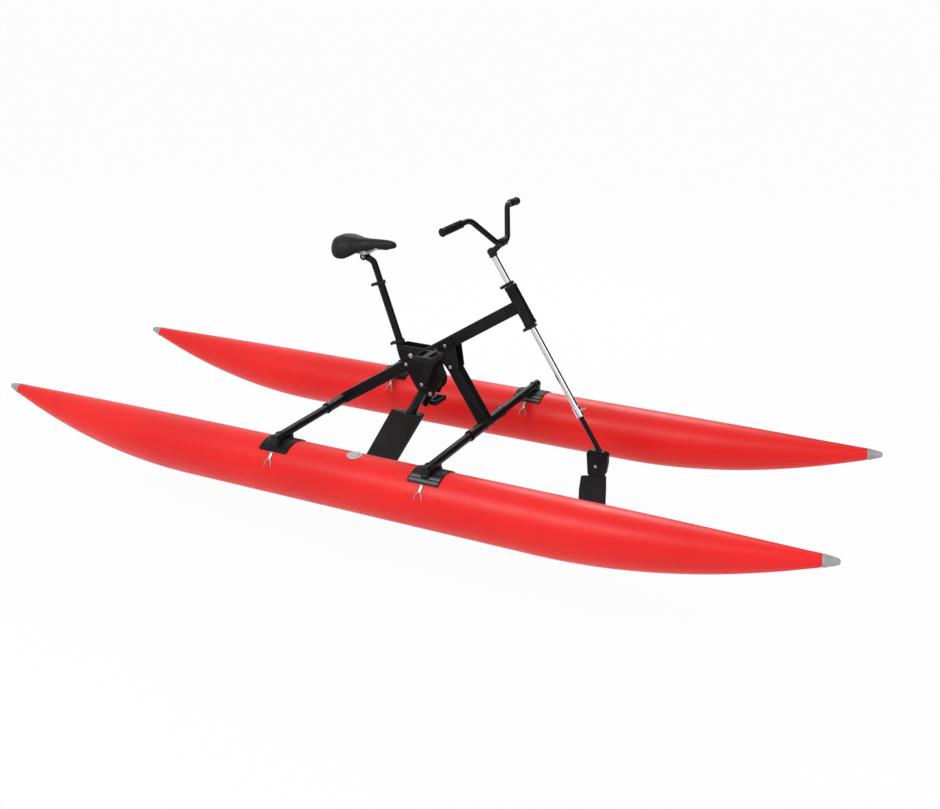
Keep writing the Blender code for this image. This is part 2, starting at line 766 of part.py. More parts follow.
def make_seat():
    mast_place = frame_at(MAST, MAST_UP)
    make_collar("seat_collar_lower", mast_place, MAST_RADIUS)
    make_cam_lever("seat_lever_lower", mast_place, MAST_RADIUS)

    inner = MAST_RADIUS - MAST_WALL
    top = MAST_TOP + COLLAR_HEIGHT / 2 + 0.001
    profile = [(inner, top), (MAST_RADIUS, top), (MAST_RADIUS, -MAST_DEPTH), (inner, -MAST_DEPTH)]
    mast = turned("seat_mast", profile, mast_place, "frame_black", 24)
    slide = joint_empty("joint_mast", MAST, MAST_UP)
    upper_place = frame_at(along_mast(MAST_TOP), MAST_UP)
    carry(slide, mast, make_collar("seat_collar_upper", upper_place, MAST_RADIUS))
    make_cam_lever("seat_lever_upper", upper_place, MAST_RADIUS)

    bend = along_mast(SEATPOST_TOP)
    clamp = bend + Vector((-SEATPOST_SETBACK * 1.12, 0, SEATPOST_SETBACK * 0.72))
    corner = [bend + MAST_UP * 0.006, bend + MAST_UP * 0.015 + Vector((-0.006, 0, 0.001))]
    points = [along_mast(MAST_TOP - SEATPOST_DEPTH), along_mast(SEATPOST_TOP - 0.01), *corner, clamp]
    post = pipe("seatpost", points, SEATPOST_RADIUS, "frame_black", 5)
    post_slide = joint_empty("joint_seatpost", along_mast(MAST_TOP), MAST_UP)
    half = POST_HEAD_HALF
    join(post, rod("seatpost_head", POST_HEAD_RADIUS, -half, half, frame_at(clamp, (0, 1, 0)), sides=24))
    carry(post_slide, post)
    make_saddle_clamp_and_rails(clamp)
    make_cushion()


def make_saddle_clamp_and_rails(seat):
    """The clamp block, hollowed to turn on the post's round head, and one wire bent to both rails."""
    tilt = joint_empty("joint_saddle", seat, (0, 1, 0))
    rail_z = seat.z + RAIL_LIFT
    lift = Matrix.Translation((seat.x, 0, seat.z + CLAMP_BLOCK_LIFT))
    clamp = box("saddle_clamp", CLAMP_BLOCK, lift, "cast_alloy", 0.002)
    hollow = POST_HEAD_HALF + SEAT_GAP
    around = frame_at(seat, (0, 1, 0))
    cut(clamp, rod("post_head_hollow", POST_HEAD_RADIUS + SEAT_GAP, -hollow, hollow, around, sides=24))
    half = RAIL_SPACING / 2
    nose_x, rear_x = SADDLE_MIDDLE_X + 0.105, SADDLE_MIDDLE_X - 0.105
    top_z = SADDLE_TOP_Z - SADDLE_THICKNESS - 0.0036
    side = [
        (rear_x, half, top_z),
        (rear_x + 0.018, half, top_z - 0.004),
        (seat.x - 0.032, half, rail_z),
        (seat.x + 0.045, half, rail_z),
        (nose_x - 0.030, half * 0.75, top_z - 0.006),
        (nose_x - 0.006, half * 0.5, top_z),
    ]
    front = [(nose_x, half * 0.25, top_z), (nose_x, -half * 0.25, top_z)]
    mirrored = [(x, -y, z) for x, y, z in reversed(side)]
    rails = pipe("saddle_rails", side + front + mirrored, RAIL_RADIUS, "bright_steel", 2)
    for sign in (-1, 1):
        beside = frame_at((seat.x, sign * half, rail_z), (1, 0, 0))
        cut(clamp, rod(f"rail_groove_{sign + 1}", RAIL_RADIUS + SEAT_GAP, -0.04, 0.04, beside, sides=12))
    carry(tilt, clamp, rails)


CUSHION_SECTIONS = [
    (-0.500, 0.42, 0.020, 0.008, 0.012),
    (-0.410, 0.96, 0.003, 0.000, 0.028),
    (-0.240, 1.00, 0.000, 0.000, 0.033),
    (-0.070, 0.66, 0.009, 0.000, 0.016),
    (0.080, 0.34, 0.014, 0.000, 0.003),
    (0.340, 0.25, 0.013, 0.000, 0.000),
    (0.500, 0.16, 0.022, 0.008, 0.000),
]


def cushion_ring(half_wide, top, base, wing):
    """Half a section from the crown out over the wing and in along the underside, then mirrored."""
    side = [
        (0.62 * half_wide, top - 0.05 * (top - base)),
        (half_wide, base + 0.30 * (top - base) - 0.4 * wing),
        (0.80 * half_wide, base - wing),
        (WING_INNER * half_wide, base),
    ]
    return [(0.0, top), *side, (0.0, base)] + [(-y, z) for y, z in reversed(side)]


def make_cushion():
    """The padded saddle: a coarse cage of ring sections, subdivided; two full wings behind and a slim nose."""
    base = SADDLE_TOP_Z - SADDLE_THICKNESS + 0.0005
    shape = bmesh.new()
    loops = []
    for along, width, drop, rise, wing in CUSHION_SECTIONS:
        x = SADDLE_MIDDLE_X + along * SADDLE_LENGTH * 1.03
        ring = cushion_ring(width * SADDLE_WIDTH / 2 * 1.08, SADDLE_TOP_Z - drop, base + rise, wing * 1.2)
        loops.append([shape.verts.new((x, y, z)) for y, z in ring])
    count = len(loops[0])
    for back, ahead in zip(loops, loops[1:]):
        for i in range(count):
            j = (i + 1) % count
            shape.faces.new((back[i], back[j], ahead[j], ahead[i]))
    shape.faces.new(loops[0])
    shape.faces.new(list(reversed(loops[-1])))
    cushion = add_object("saddle", finish_mesh("saddle", shape), None, "soft_black")
    soften = cushion.modifiers.new("soften", "SUBSURF")
    soften.levels = 2
    soften.render_levels = 2
    carry(bpy.data.objects["joint_saddle"], cushion)


# Steering


def along_steer(distance, forward=0.0):
    return HEAD + STEER_UP * distance + BEAM_DIRECTION * forward


COLLAR_OFFSET = HEAD_TUBE_LENGTH / 2 + BUSH_FLANGE + 3 * SEAT_GAP + COLLAR_HEIGHT / 2


def make_steering_collars():
    turn = joint_empty("joint_steering", HEAD, STEER_UP)
    for name, end in (("upper", 1), ("lower", -1)):
        place = frame_at(along_steer(end * COLLAR_OFFSET), STEER_UP)
        carry(turn, make_collar(f"steering_collar_{name}", place, COLUMN_RADIUS))
        make_cam_lever(f"steering_lever_{name}", place, COLUMN_RADIUS)


CLAMP_RING = 0.0160
CLAMP_HEIGHT = 0.045
KNOB_SEAT = 0.018
KNOB_HEIGHT = 0.006
KNOB_SHANK = 0.003
KNOB_LOOP = 0.0085
KNOB_WIRE = 0.0014


def make_column():
    """The bright column with its stock clamp at the foot."""
    inner = COLUMN_RADIUS - COLUMN_WALL
    outer = COLUMN_RADIUS
    profile = [(inner, COLUMN_TOP), (outer, COLUMN_TOP), (outer, -COLUMN_BOTTOM), (inner, -COLUMN_BOTTOM)]
    place = frame_at(HEAD, STEER_UP)
    column = turned("steering_column", profile, place, "column_chrome", 24)
    slide = joint_empty("joint_column", HEAD, STEER_UP)
    low, high = -COLUMN_BOTTOM, -COLUMN_BOTTOM + CLAMP_HEIGHT
    bead = 0.002
    ring_profile = [
        (outer - 0.001, high),
        (CLAMP_RING - bead, high),
        (CLAMP_RING, high - bead),
        (CLAMP_RING, low),
        (outer - 0.001, low),
    ]
    ring = turned("column_clamp", ring_profile, place, sides=24)
    knob_place = frame_at(along_steer((low + high) / 2), BEAM_DIRECTION, (0, 1, 0))
    lug = rod("column_lug", 0.007, COLUMN_RADIUS, KNOB_SEAT - SEAT_GAP, knob_place, sides=16)
    hole = rod("column_screw_hole", KNOB_SHANK + SEAT_GAP, COLUMN_RADIUS - 0.006, 0.04, knob_place, sides=12)
    join(column, ring, lug)
    cut(column, hole)
    carry(slide, column)
    make_knob(knob_place)


def make_knob(place):
    """The clamp's screw: a small round head with a wire loop to turn it by."""
    tip = COLUMN_RADIUS - COLUMN_WALL + SEAT_GAP
    crown = KNOB_SEAT + KNOB_HEIGHT
    profile = [
        (0.0, crown),
        (KNOB_RADIUS - 0.001, crown),
        (KNOB_RADIUS, crown - 0.001),
        (KNOB_RADIUS, KNOB_SEAT),
        (KNOB_SHANK, KNOB_SEAT),
        (KNOB_SHANK, tip),
        (0.0, tip),
    ]
    knob = turned("clamp_knob", profile, place, "bright_steel", 12)
    middle = crown + KNOB_LOOP - 0.0015
    angles = [math.radians(15 + 30 * i) for i in range(12)]
    loop = [(KNOB_LOOP * math.sin(a), 0.0, middle - KNOB_LOOP * math.cos(a)) for a in angles]
    ends = [(x, 0.0, crown - 0.003) for x in (loop[0][0], loop[-1][0])]
    join(knob, pipe("knob_loop", [ends[0], *loop, ends[1]], KNOB_WIRE, sides_step=1, place=place))
    carry(joint_empty("joint_knob", place.translation, BEAM_DIRECTION), knob)


BAR_PATH = [
    (0.000, 0.000, 0.000),
    (0.000, 0.030, 0.000),
    (-0.002, 0.050, 0.010),
    (-0.020, 0.095, 0.052),
    (-0.046, 0.150, 0.100),
    (-0.060, 0.178, 0.108),
    (-0.072, 0.205, 0.106),
    (-0.092, 0.326, 0.092),
]


def bar_points():
    """The half path rounded through its hand-set points, then mirrored."""
    centre = along_steer(STEM_RISE, STEM_REACH)
    half = [centre + Vector(p) for p in [BAR_PATH[0], *smooth_path(BAR_PATH[1:-1], 2), BAR_PATH[-1]]]
    other = [Vector((p.x, -p.y, p.z)) for p in half[1:]]
    return list(reversed(other)) + half


def make_handlebar():
    """The stem, quilled into the column, and a riser bar with two grips, clamped in the stem."""
    centre = along_steer(STEM_RISE, STEM_REACH)
    top = COLUMN_TOP + SEAT_GAP
    quill = COLUMN_RADIUS - COLUMN_WALL - SEAT_GAP
    profile = [
        (0.0, top + 0.036),
        (0.010, top + 0.036),
        (0.0165, top + 0.030),
        (0.0165, top + 0.004),
        (0.014, top),
        (quill, top),
        (quill, top - 0.070),
        (0.0, top - 0.070),
    ]
    stem = turned("stem", profile, frame_at(HEAD, STEER_UP), "moulded_black", 16)
    arm_start, arm_end = along_steer(top + 0.018), centre
    arm = pipe("stem_arm", [arm_start, (arm_start + arm_end) / 2, arm_end], 0.0135, sides_step=4, radii=[1.0, 0.9, 1.05])
    clamp_place = frame_at(centre, (0, 1, 0))
    clamp = rod("stem_clamp", 0.0185, -0.024, 0.024, clamp_place, sides=16)
    join(stem, arm, clamp)
    cut(stem, rod("stem_bore", BAR_RADIUS + SEAT_GAP, -0.05, 0.05, clamp_place, sides=16))
    carry(bpy.data.objects["joint_column"], stem)

    points = bar_points()
    bar = pipe("handlebar", points, BAR_RADIUS, "frame_black", 2)
    roll = joint_empty("joint_handlebar", centre, (0, 1, 0))
    carry(roll, bar)
    for name, sign in (("port", 1), ("starboard", -1)):
        end = points[-1] if sign > 0 else points[0]
        inner = points[-2] if sign > 0 else points[1]
        outward = (Vector(end) - Vector(inner)).normalized()
        bore = (BAR_RADIUS + SEAT_GAP) / math.cos(math.pi / GRIP_SIDES)
        start = -GRIP_LENGTH + 0.006
        ridges = []
        count = 4
        for i in range(count):
            z = -0.010 - i * (GRIP_LENGTH - 0.030) / (count - 1)
            ridges += [(GRIP_RADIUS, z), (GRIP_RADIUS - 0.0012, z - 0.004), (GRIP_RADIUS - 0.0012, z - 0.008)]
        profile = [(0.0, 0.006), (0.012, 0.006), (GRIP_RADIUS + 0.001, 0.003), (GRIP_RADIUS + 0.001, -0.004)]
        profile += ridges + [(GRIP_RADIUS, start), (bore, start), (bore, SEAT_GAP), (0.0, SEAT_GAP)]
        carry(roll, turned(f"grip_{name}", profile, frame_at(end, outward, (1, 0, 0)), "soft_black", GRIP_SIDES))


# Rudder


def blade_outline():
    """The rudder blade: a tang round the bolt, a step behind it, then a deep blade with a swept foot."""
    x, z = RUDDER_BOLT
    tang_angles = [math.radians(-10 + 25 * i) for i in range(9)]
    tang = [(x + RUDDER_TANG * math.cos(a), z + RUDDER_TANG * math.sin(a)) for a in tang_angles]
    behind = [(-0.259, -0.431), (-0.549, -0.500), (-0.608, -1.034), (-0.603, -2.069)]
    ahead = [(0.345, -2.155), (0.392, -1.379), (0.386, -0.793), (0.369, -0.388)]
    foot = [(-0.345, 0.012), (-0.086, 0.0), (0.172, 0.010)]
    rear_edge = [(x + across * RUDDER_CHORD, z + down * RUDDER_CHORD) for across, down in behind]
    front_edge = [(x + across * RUDDER_CHORD, z + down * RUDDER_CHORD) for across, down in ahead]
    low_edge = [(x + across * RUDDER_CHORD, RUDDER_BOTTOM_Z + lift) for across, lift in foot]
    return tang + rear_edge + low_edge + front_edge


def make_rudder():
    stock_top = -COLUMN_BOTTOM + STOCK_DEPTH
    x, z = RUDDER_BOLT
    stock_end = Vector((x + STOCK_TIP[0], 0, z + STOCK_TIP[1]))
    low = (stock_end - HEAD).dot(STEER_UP)
    stock = rod("rudder_stock", STOCK_RADIUS, low, stock_top, frame_at(HEAD, STEER_UP), "frame_black", 16)
    slide = joint_empty("joint_stock", along_steer(-COLUMN_BOTTOM), STEER_UP)
    shares = [
        (-0.351, 0.472),
        (-0.259, 0.623),
        (0.259, 0.623),
        (0.422, 0.547),
        (0.414, 0.142),
        (0.362, -0.283),
        (-0.086, -0.377),
        (-0.278, -0.421),
    ]
    head = [(x + across * RUDDER_CHORD, z + up * RUDDER_HEAD_HEIGHT) for across, up in shares]
    wide = RUDDER_THICKNESS + 2 * (CHEEK_THICKNESS + RUN_GAP)
    cheeks = outline("rudder_head", fillet(head, 0.008), wide, side_plane(0))
    slot_top = z + 0.026
    slot = box("rudder_slot", (0.30, RUDDER_THICKNESS + 2 * RUN_GAP, 0.4), Matrix.Translation((x, 0, slot_top - 0.2)))
    cut(cheeks, slot)
    pivot = frame_at((x, 0, z), (0, 1, 0))
    half = wide / 2 + 0.004
    end = [(0.0, half), (0.009, half), (0.009, wide / 2 - 0.001), (RUDDER_PIN, wide / 2 - 0.002)]
    bolt_profile = end + [(radius, -along) for radius, along in reversed(end)]
    join(stock, cheeks, turned("rudder_bolt", bolt_profile, pivot, sides=12))
    carry(slide, stock)
    blade = outline("rudder_blade", blade_outline(), RUDDER_THICKNESS, side_plane(0), "moulded_black")
    cut(blade, rod("blade_hole", RUDDER_PIN + SEAT_GAP, -0.02, 0.02, pivot, sides=12))
    kick = joint_empty("joint_rudder_kick", (x, 0, z), (0, 1, 0))
    carry(kick, blade)


# Drive

LEG_DOWN = Vector((-math.sin(LEG_ANGLE), 0, -math.cos(LEG_ANGLE)))
LEG_FOOT = DRIVE + LEG_DOWN * LEG_LENGTH
LEG_FORWARD = Vector((math.cos(LEG_ANGLE), 0, -math.sin(LEG_ANGLE)))


def bevel_gear(name, teeth, module, cone, face, back, place, colour=None, phase=0.0):
    """A straight bevel gear, apex at its placement, teeth tapering toward it, closed behind by a flat back."""
    pitch_radius = module * teeth / 2
    distance = pitch_radius / math.sin(cone)
    tip = math.atan(ADDENDUM * module / distance)
    root = -math.atan(DEDENDUM * module / distance)
    pitch = math.tau / teeth
    corners = [(-0.31, root), (-TOOTH_FILL / 2 * 0.62, tip), (TOOTH_FILL / 2 * 0.62, tip), (0.31, root)]

    def ring(reach):
        row = []
        for k in range(teeth):
            for share, lift in corners:
                angle = phase + pitch * (k + share)
                slope = cone + lift
                far = reach / math.cos(lift)
                radius = far * math.sin(slope)
                row.append((radius * math.cos(angle), radius * math.sin(angle), far * math.cos(slope)))
        return row

    big, small = ring(distance), ring(distance - face)
    back_z = max(p[2] for p in big) + back
    rim = min(math.hypot(p[0], p[1]) for p in big) * 0.97
    shape = bmesh.new()
    rows = [[shape.verts.new(p) for p in small], [shape.verts.new(p) for p in big]]
    rows.append([shape.verts.new((rim * p[0] / math.hypot(p[0], p[1]), rim * p[1] / math.hypot(p[0], p[1]), back_z)) for p in big])
    for lower, upper in zip(rows, rows[1:]):
        for i in range(len(lower)):
            j = (i + 1) % len(lower)
            shape.faces.new((lower[i], lower[j], upper[j], upper[i]))
    front = shape.verts.new((0, 0, sum(p[2] for p in small) / len(small)))
    for i in range(len(rows[0])):
        shape.faces.new((rows[0][(i + 1) % len(rows[0])], rows[0][i], front))
    shape.faces.new(rows[2])
    return add_object(name, finish_mesh(name, shape), place, colour)


UPPER_RATIO_CONE = math.atan2(CROWN_TEETH, PINION_TEETH)
UPPER_DISTANCE = UPPER_MODULE * CROWN_TEETH / 2 / math.sin(UPPER_RATIO_CONE)
PINION_BACK = UPPER_DISTANCE + 0.004
LOWER_CONE = (math.pi / 2 - LEG_ANGLE) / 2
LOWER_DISTANCE = LOWER_MODULE * LOWER_TEETH / 2 / math.sin(LOWER_CONE)
GEAR_ROOM = LOWER_MODULE * LOWER_TEETH / 2 + 0.0033


def make_leg_case():
    """The hollow leg: gear drum round the axle, tube, and the pod that holds the lower gears."""
    half = PLATE_OUT - GUSSET_THICKNESS - SEAT_GAP
    across = frame_at(DRIVE, (0, 1, 0), LEG_DOWN)
    down = frame_at(DRIVE, LEG_DOWN, (0, 1, 0))
    drum = turned(
        "leg_case",
        [(0.0, half), (DRUM_RADIUS - 0.0015, half), (DRUM_RADIUS, half - 0.0015), (DRUM_RADIUS, 0.0015 - half), (DRUM_RADIUS - 0.0015, -half), (0.0, -half)],
        across,
        "frame_black",
        24,
    )
    tube = rod("leg_tube", LEG_RADIUS, 0.02, LEG_LENGTH, down, sides=24)
    foot_boss = rod("leg_foot_boss", GEAR_ROOM + 0.004, LEG_LENGTH - LOWER_DISTANCE - 0.014, LEG_LENGTH, down, sides=16)
    aft = frame_at(LEG_FOOT, (1, 0, 0), (0, 0, 1))
    nose = [
        (CASE_RADIUS * math.sin(math.radians(a)), CASE_NOSE - 0.045 + 0.045 * math.cos(math.radians(a)))
        for a in (0, 25, 55, 90)
    ]
    nose[0] = (0.0, CASE_NOSE)
    pod = turned("leg_pod", nose + [(CASE_RADIUS, -0.015), (0.0195, -CASE_TAIL), (0.0, -CASE_TAIL)], aft, sides=20)
    stop = Vector((STOP_BOLT[0], 0, STOP_BOLT[1])) - DRIVE
    lug_front = stop.dot(LEG_FORWARD) - STOP_BOLT_RADIUS - SEAT_GAP
    lug_place = frame_at(DRIVE + LEG_DOWN * (stop.dot(LEG_DOWN) + 0.006) + LEG_FORWARD * (lug_front - 0.011), LEG_DOWN, LEG_FORWARD)
    lug = box("leg_stop_lug", (0.022, 0.024, 0.022), lug_place)
    join(drum, tube, foot_boss, pod, lug)
    cavity = DRUM_RADIUS - DRUM_WALL
    cut(
        drum,
        rod("drum_room", cavity, -0.0150, half + 0.01, across, sides=24),
        rod("pinion_room", 0.0170, 0.005, PINION_BACK + 0.006, down, sides=16),
        rod("shaft_bore", LEG_SHAFT_RADIUS + SEAT_GAP, 0.02, LEG_LENGTH, down, sides=16),
        rod("lower_pinion_room", GEAR_ROOM, LEG_LENGTH - LOWER_DISTANCE - 0.007, LEG_LENGTH, down, sides=16),
        rod("lower_gear_room", GEAR_ROOM, -0.012, LOWER_DISTANCE + 0.006, aft, sides=16),
        rod("prop_shaft_bore", PROP_SHAFT_RADIUS + SEAT_GAP, -CASE_TAIL - 0.01, 0.0, aft, sides=16),
        rod("axle_bore", AXLE_RADIUS + SEAT_GAP, -half - 0.01, 0.0, across, sides=16),
    )
    swing = joint_empty("joint_leg", DRIVE, (0, 1, 0))
    carry(swing, drum, make_fairing(down))


def make_fairing(down):
    """The streamlined sheath round the leg, level at top and foot, and swept with the leg."""
    points = []
    shares = [0.0, 0.012, 0.05, 0.12, 0.22, 0.34, 0.48, 0.64, 0.82, 0.95]

    def half_thickness(c):
        return 5 * FAIRING_THICKNESS * (0.2969 * math.sqrt(c) - 0.126 * c - 0.3516 * c**2 + 0.2843 * c**3 - 0.1015 * c**4)

    for c in shares:
        points.append((FAIRING_LEAD - c * FAIRING_CHORD, half_thickness(c)))
    points.append((FAIRING_LEAD - FAIRING_CHORD, 0.001))
    points += [(x, -y) for x, y in reversed(points) if y > 1e-6]
    height = FAIRING_TOP_Z - FAIRING_BOTTOM_Z
    middle = (FAIRING_TOP_Z + FAIRING_BOTTOM_Z) / 2
    fairing = outline("leg_fairing", points, height, None, "moulded_black")
    sweep = Matrix.Identity(4)
    sweep[0][2] = math.tan(LEG_ANGLE)
    fairing.data.transform(sweep)
    fairing.matrix_world = Matrix.Translation((DRIVE_X - (DRIVE_Z - middle) * math.tan(LEG_ANGLE), 0, middle))
    cut(fairing, rod("fairing_bore", LEG_RADIUS + SEAT_GAP, 0.05, LEG_LENGTH, down, sides=24))
    return fairing


def make_crank_axle():
    """The crank axle with its crown gear, and a stepped seat at each end for the crank arms."""
    inner = CRANK_FACE - CRANK_THICKNESS - SEAT_GAP
    seat = AXLE_RADIUS - 0.002
    end = CRANK_FACE - 0.002
    profile = [(0.0, end), (seat, end), (seat, inner), (AXLE_RADIUS, inner), (AXLE_RADIUS, -inner), (seat, -inner), (seat, -end), (0.0, -end)]
    across = frame_at(DRIVE, (0, 1, 0), LEG_DOWN)
    axle = turned("crank_axle", profile, across, "bright_steel", 16)
    join(axle, bevel_gear("crown_gear", CROWN_TEETH, UPPER_MODULE, UPPER_RATIO_CONE, UPPER_FACE, 0.0035, across))
    crank = joint_empty("joint_crank", DRIVE, (0, 1, 0))
    carry(crank, axle)


def make_crank_arm(name, out):
    """A tapered crank arm with its pedal spindle."""
    direction = Vector((math.sin(CRANK_ANGLE), 0, math.cos(CRANK_ANGLE))) * -out
    middle_y = out * (CRANK_FACE - CRANK_THICKNESS / 2)
    place = frame_at((DRIVE_X, middle_y, DRIVE_Z), (0, -1, 0), direction)
    hub, tip = 0.0185, 0.0135
    points = [(hub * math.cos(a), hub * math.sin(a)) for a in (math.radians(100 + 20 * i) for i in range(9))]
    points += [(CRANK_LENGTH + tip * math.cos(a), tip * math.sin(a)) for a in (math.radians(-88 + 22 * i) for i in range(9))]
    arm = outline(name, points, CRANK_THICKNESS, place, "frame_black")
    pin_place = frame_at(Vector((DRIVE_X, 0, DRIVE_Z)) + direction * CRANK_LENGTH, (0, out, 0))
    end = PEDAL_CENTRE_Y + PEDAL_WIDTH / 2 + SEAT_GAP
    flange = SPINDLE_RADIUS + 0.003
    start = CRANK_FACE - 0.006
    spindle = turned(
        f"{name}_spindle",
        [(0.0, end + 0.004), (flange, end + 0.004), (flange, end), (SPINDLE_RADIUS, end), (SPINDLE_RADIUS, CRANK_FACE + 0.006), (0.009, CRANK_FACE + 0.005), (0.009, start), (0.0, start)],
        pin_place,
        sides=12,
    )
    join(arm, spindle)
    cut(arm, rod(f"{name}_eye", AXLE_RADIUS - 0.002 + SEAT_GAP, 0.0, 0.12, frame_at(DRIVE, (0, out, 0)), sides=16))
    carry(bpy.data.objects["joint_crank"], arm)
    return pin_place.translation


def make_pedal(name, out, centre):
    place = Matrix.Translation((centre.x, out * PEDAL_CENTRE_Y, centre.z))
    pedal = box(name, (PEDAL_LENGTH, PEDAL_WIDTH, PEDAL_HEIGHT), place, "moulded_black", 0.004)
    for sign in (-1, 1):
        window = box(
            f"{name}_window_{sign + 1}",
            (PEDAL_LENGTH / 2 - 0.020, PEDAL_WIDTH - 0.024, 0.1),
            place @ Matrix.Translation((sign * (PEDAL_LENGTH / 4 + 0.001), 0, 0)),
        )
        cut(pedal, window)
    cut(pedal, rod(f"{name}_bore", SPINDLE_RADIUS + SEAT_GAP, -0.1, 0.1, frame_at(place.translation, (0, 1, 0)), sides=16))
    spin = joint_empty("joint_" + name, place.translation, (0, 1, 0))
    carry(spin, pedal)


def make_leg_shaft():
    """The shaft down the leg with a pinion at each end."""
    down = frame_at(DRIVE, LEG_DOWN, (0, 1, 0))
    up = frame_at(LEG_FOOT, -LEG_DOWN, (1, 0, 0))
    start, end = UPPER_DISTANCE - 0.004, LEG_LENGTH - LOWER_DISTANCE * math.cos(LOWER_CONE)
    shaft = rod("leg_shaft", LEG_SHAFT_RADIUS, start, end, down, "bright_steel", 16)
    half_pitch = math.pi / PINION_TEETH
    upper = bevel_gear(
        "upper_pinion", PINION_TEETH, UPPER_MODULE, math.pi / 2 - UPPER_RATIO_CONE, UPPER_FACE, 0.003, down, phase=half_pitch
    )
    lower = bevel_gear(
        "lower_pinion", LOWER_TEETH, LOWER_MODULE, LOWER_CONE, LOWER_FACE, 0.003, up, phase=math.pi / LOWER_TEETH
    )
    join(shaft, upper, lower)
    turn = joint_empty("joint_leg_shaft", DRIVE + LEG_DOWN * start, LEG_DOWN)
    carry(turn, shaft)


def blade_section(radius, middle_z):
    """Six points round a blade's lens-shaped section, turned by the pitch at this radius."""
    share = (radius - PROP_HUB_RADIUS) / (PROP_RADIUS - PROP_HUB_RADIUS)
    chord = 0.044 + 0.050 * max(share, 0) * (1 - max(share, 0)) * 2.2 - 0.022 * max(share, 0) ** 3
    thick = PROP_BLADE_THICKNESS * (1.25 - 0.75 * max(share, 0))
    slope = -math.atan2(PROP_PITCH, math.tau * radius)
    flat = [(-0.5, 0.0), (-0.22, 0.5), (0.22, 0.5), (0.5, 0.0), (0.22, -0.5), (-0.22, -0.5)]
    row = []
    for a, b in flat:
        along, lift = a * chord, b * thick
        y = along * math.cos(slope) - lift * math.sin(slope)
        z = along * math.sin(slope) + lift * math.cos(slope)
        row.append((radius, y, middle_z + z))
    return row


def make_propeller():
    """A two-bladed propeller on the pod's stub shaft, which carries the lower crown gear forward of the leg."""
    aft = frame_at(LEG_FOOT, (-1, 0, 0), (0, 0, 1))
    ahead = frame_at(LEG_FOOT, (1, 0, 0), (0, 0, 1))
    front, end = CASE_TAIL + 2 * SEAT_GAP, CASE_TAIL + PROP_HUB_LENGTH
    profile = [(0.0, end), (0.010, end - 0.002), (0.018, end - 0.012), (PROP_HUB_RADIUS, end - 0.026), (PROP_HUB_RADIUS, front + 0.004), (0.0195, front), (0.0, front)]
    hub = turned("propeller", profile, aft, "moulded_black", 16)
    middle_z = front + 0.022
    stations = [0.012, 0.030, 0.055, 0.080, 0.105, 0.128, 0.140]
    for index in range(2):
        shape = bmesh.new()
        rows = [[shape.verts.new(p) for p in blade_section(r, middle_z)] for r in stations]
        for low, high in zip(rows, rows[1:]):
            for i in range(6):
                j = (i + 1) % 6
                shape.faces.new((low[i], low[j], high[j], high[i]))
        shape.faces.new(rows[0])
        shape.faces.new(rows[-1])
        turned_place = aft @ Matrix.Rotation(math.pi * index, 4, "Z")
        join(hub, add_object(f"propeller_blade_{index}", finish_mesh("blade", shape), turned_place))
    start = LOWER_DISTANCE * math.cos(LOWER_CONE)
    join(hub, rod("prop_shaft", PROP_SHAFT_RADIUS, -start, front + 0.01, aft, sides=16))
    join(hub, bevel_gear("prop_gear", LOWER_TEETH, LOWER_MODULE, LOWER_CONE, LOWER_FACE, 0.003, ahead))
    spin = joint_empty("joint_propeller", LEG_FOOT, (1, 0, 0))
    carry(spin, hub)


# Assembly


def main():
    for side_name, out in (("port", 1), ("starboard", -1)):
        y = out * (CROSS_TUBE_LENGTH / 2 - TUBE_OVERHANG)
        make_hull(side_name, y)
        make_end_cone(f"bow_cone_{side_name}", y, 1)
        make_end_cone(f"stern_cone_{side_name}", y, -1)
        make_valve(side_name, y)
        for end_name, x in (("front", FRONT_TUBE_X), ("rear", REAR_TUBE_X)):
            make_saddle(f"saddle_pad_{end_name}_{side_name}", x, y, out)
            for place_name, lean in (("outer", out), ("inner", -out)):
                make_clip(f"clip_{end_name}_{side_name}_{place_name}", x, y, lean)
        make_gusset(f"gusset_{side_name}", out)
    make_cross_tube("cross_tube_front", FRONT_TUBE_X)
    make_cross_tube("cross_tube_rear", REAR_TUBE_X)
    make_main_frame()
    make_down_tube()
    make_stop_bolt()
    make_drive_cover()
    make_head_bush("head_bush_upper", 1)
    make_head_bush("head_bush_lower", -1)
    make_seat()
    make_steering_collars()
    make_column()
    make_handlebar()
    make_rudder()
    make_leg_case()
    make_crank_axle()
    for side_name, out in (("port", 1), ("starboard", -1)):
        centre = make_crank_arm(f"crank_arm_{side_name}", out)
        make_pedal(f"pedal_{side_name}", out, centre)
    make_leg_shaft()
    make_propeller()


main()
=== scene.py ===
# %% [markdown]
# # A water bike, dressed piece by piece
#
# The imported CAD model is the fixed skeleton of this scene: two pontoons, a welded cycle frame, a steering
# column with a rudder, and a crank that drives a propeller through a swinging leg. This lesson gives each
# solid its real surface, and models again the pieces whose curves the coarse solids can only hint at.

# %% Load the frame
import json
import math

import bmesh
import bpy
from mathutils import Matrix, Vector


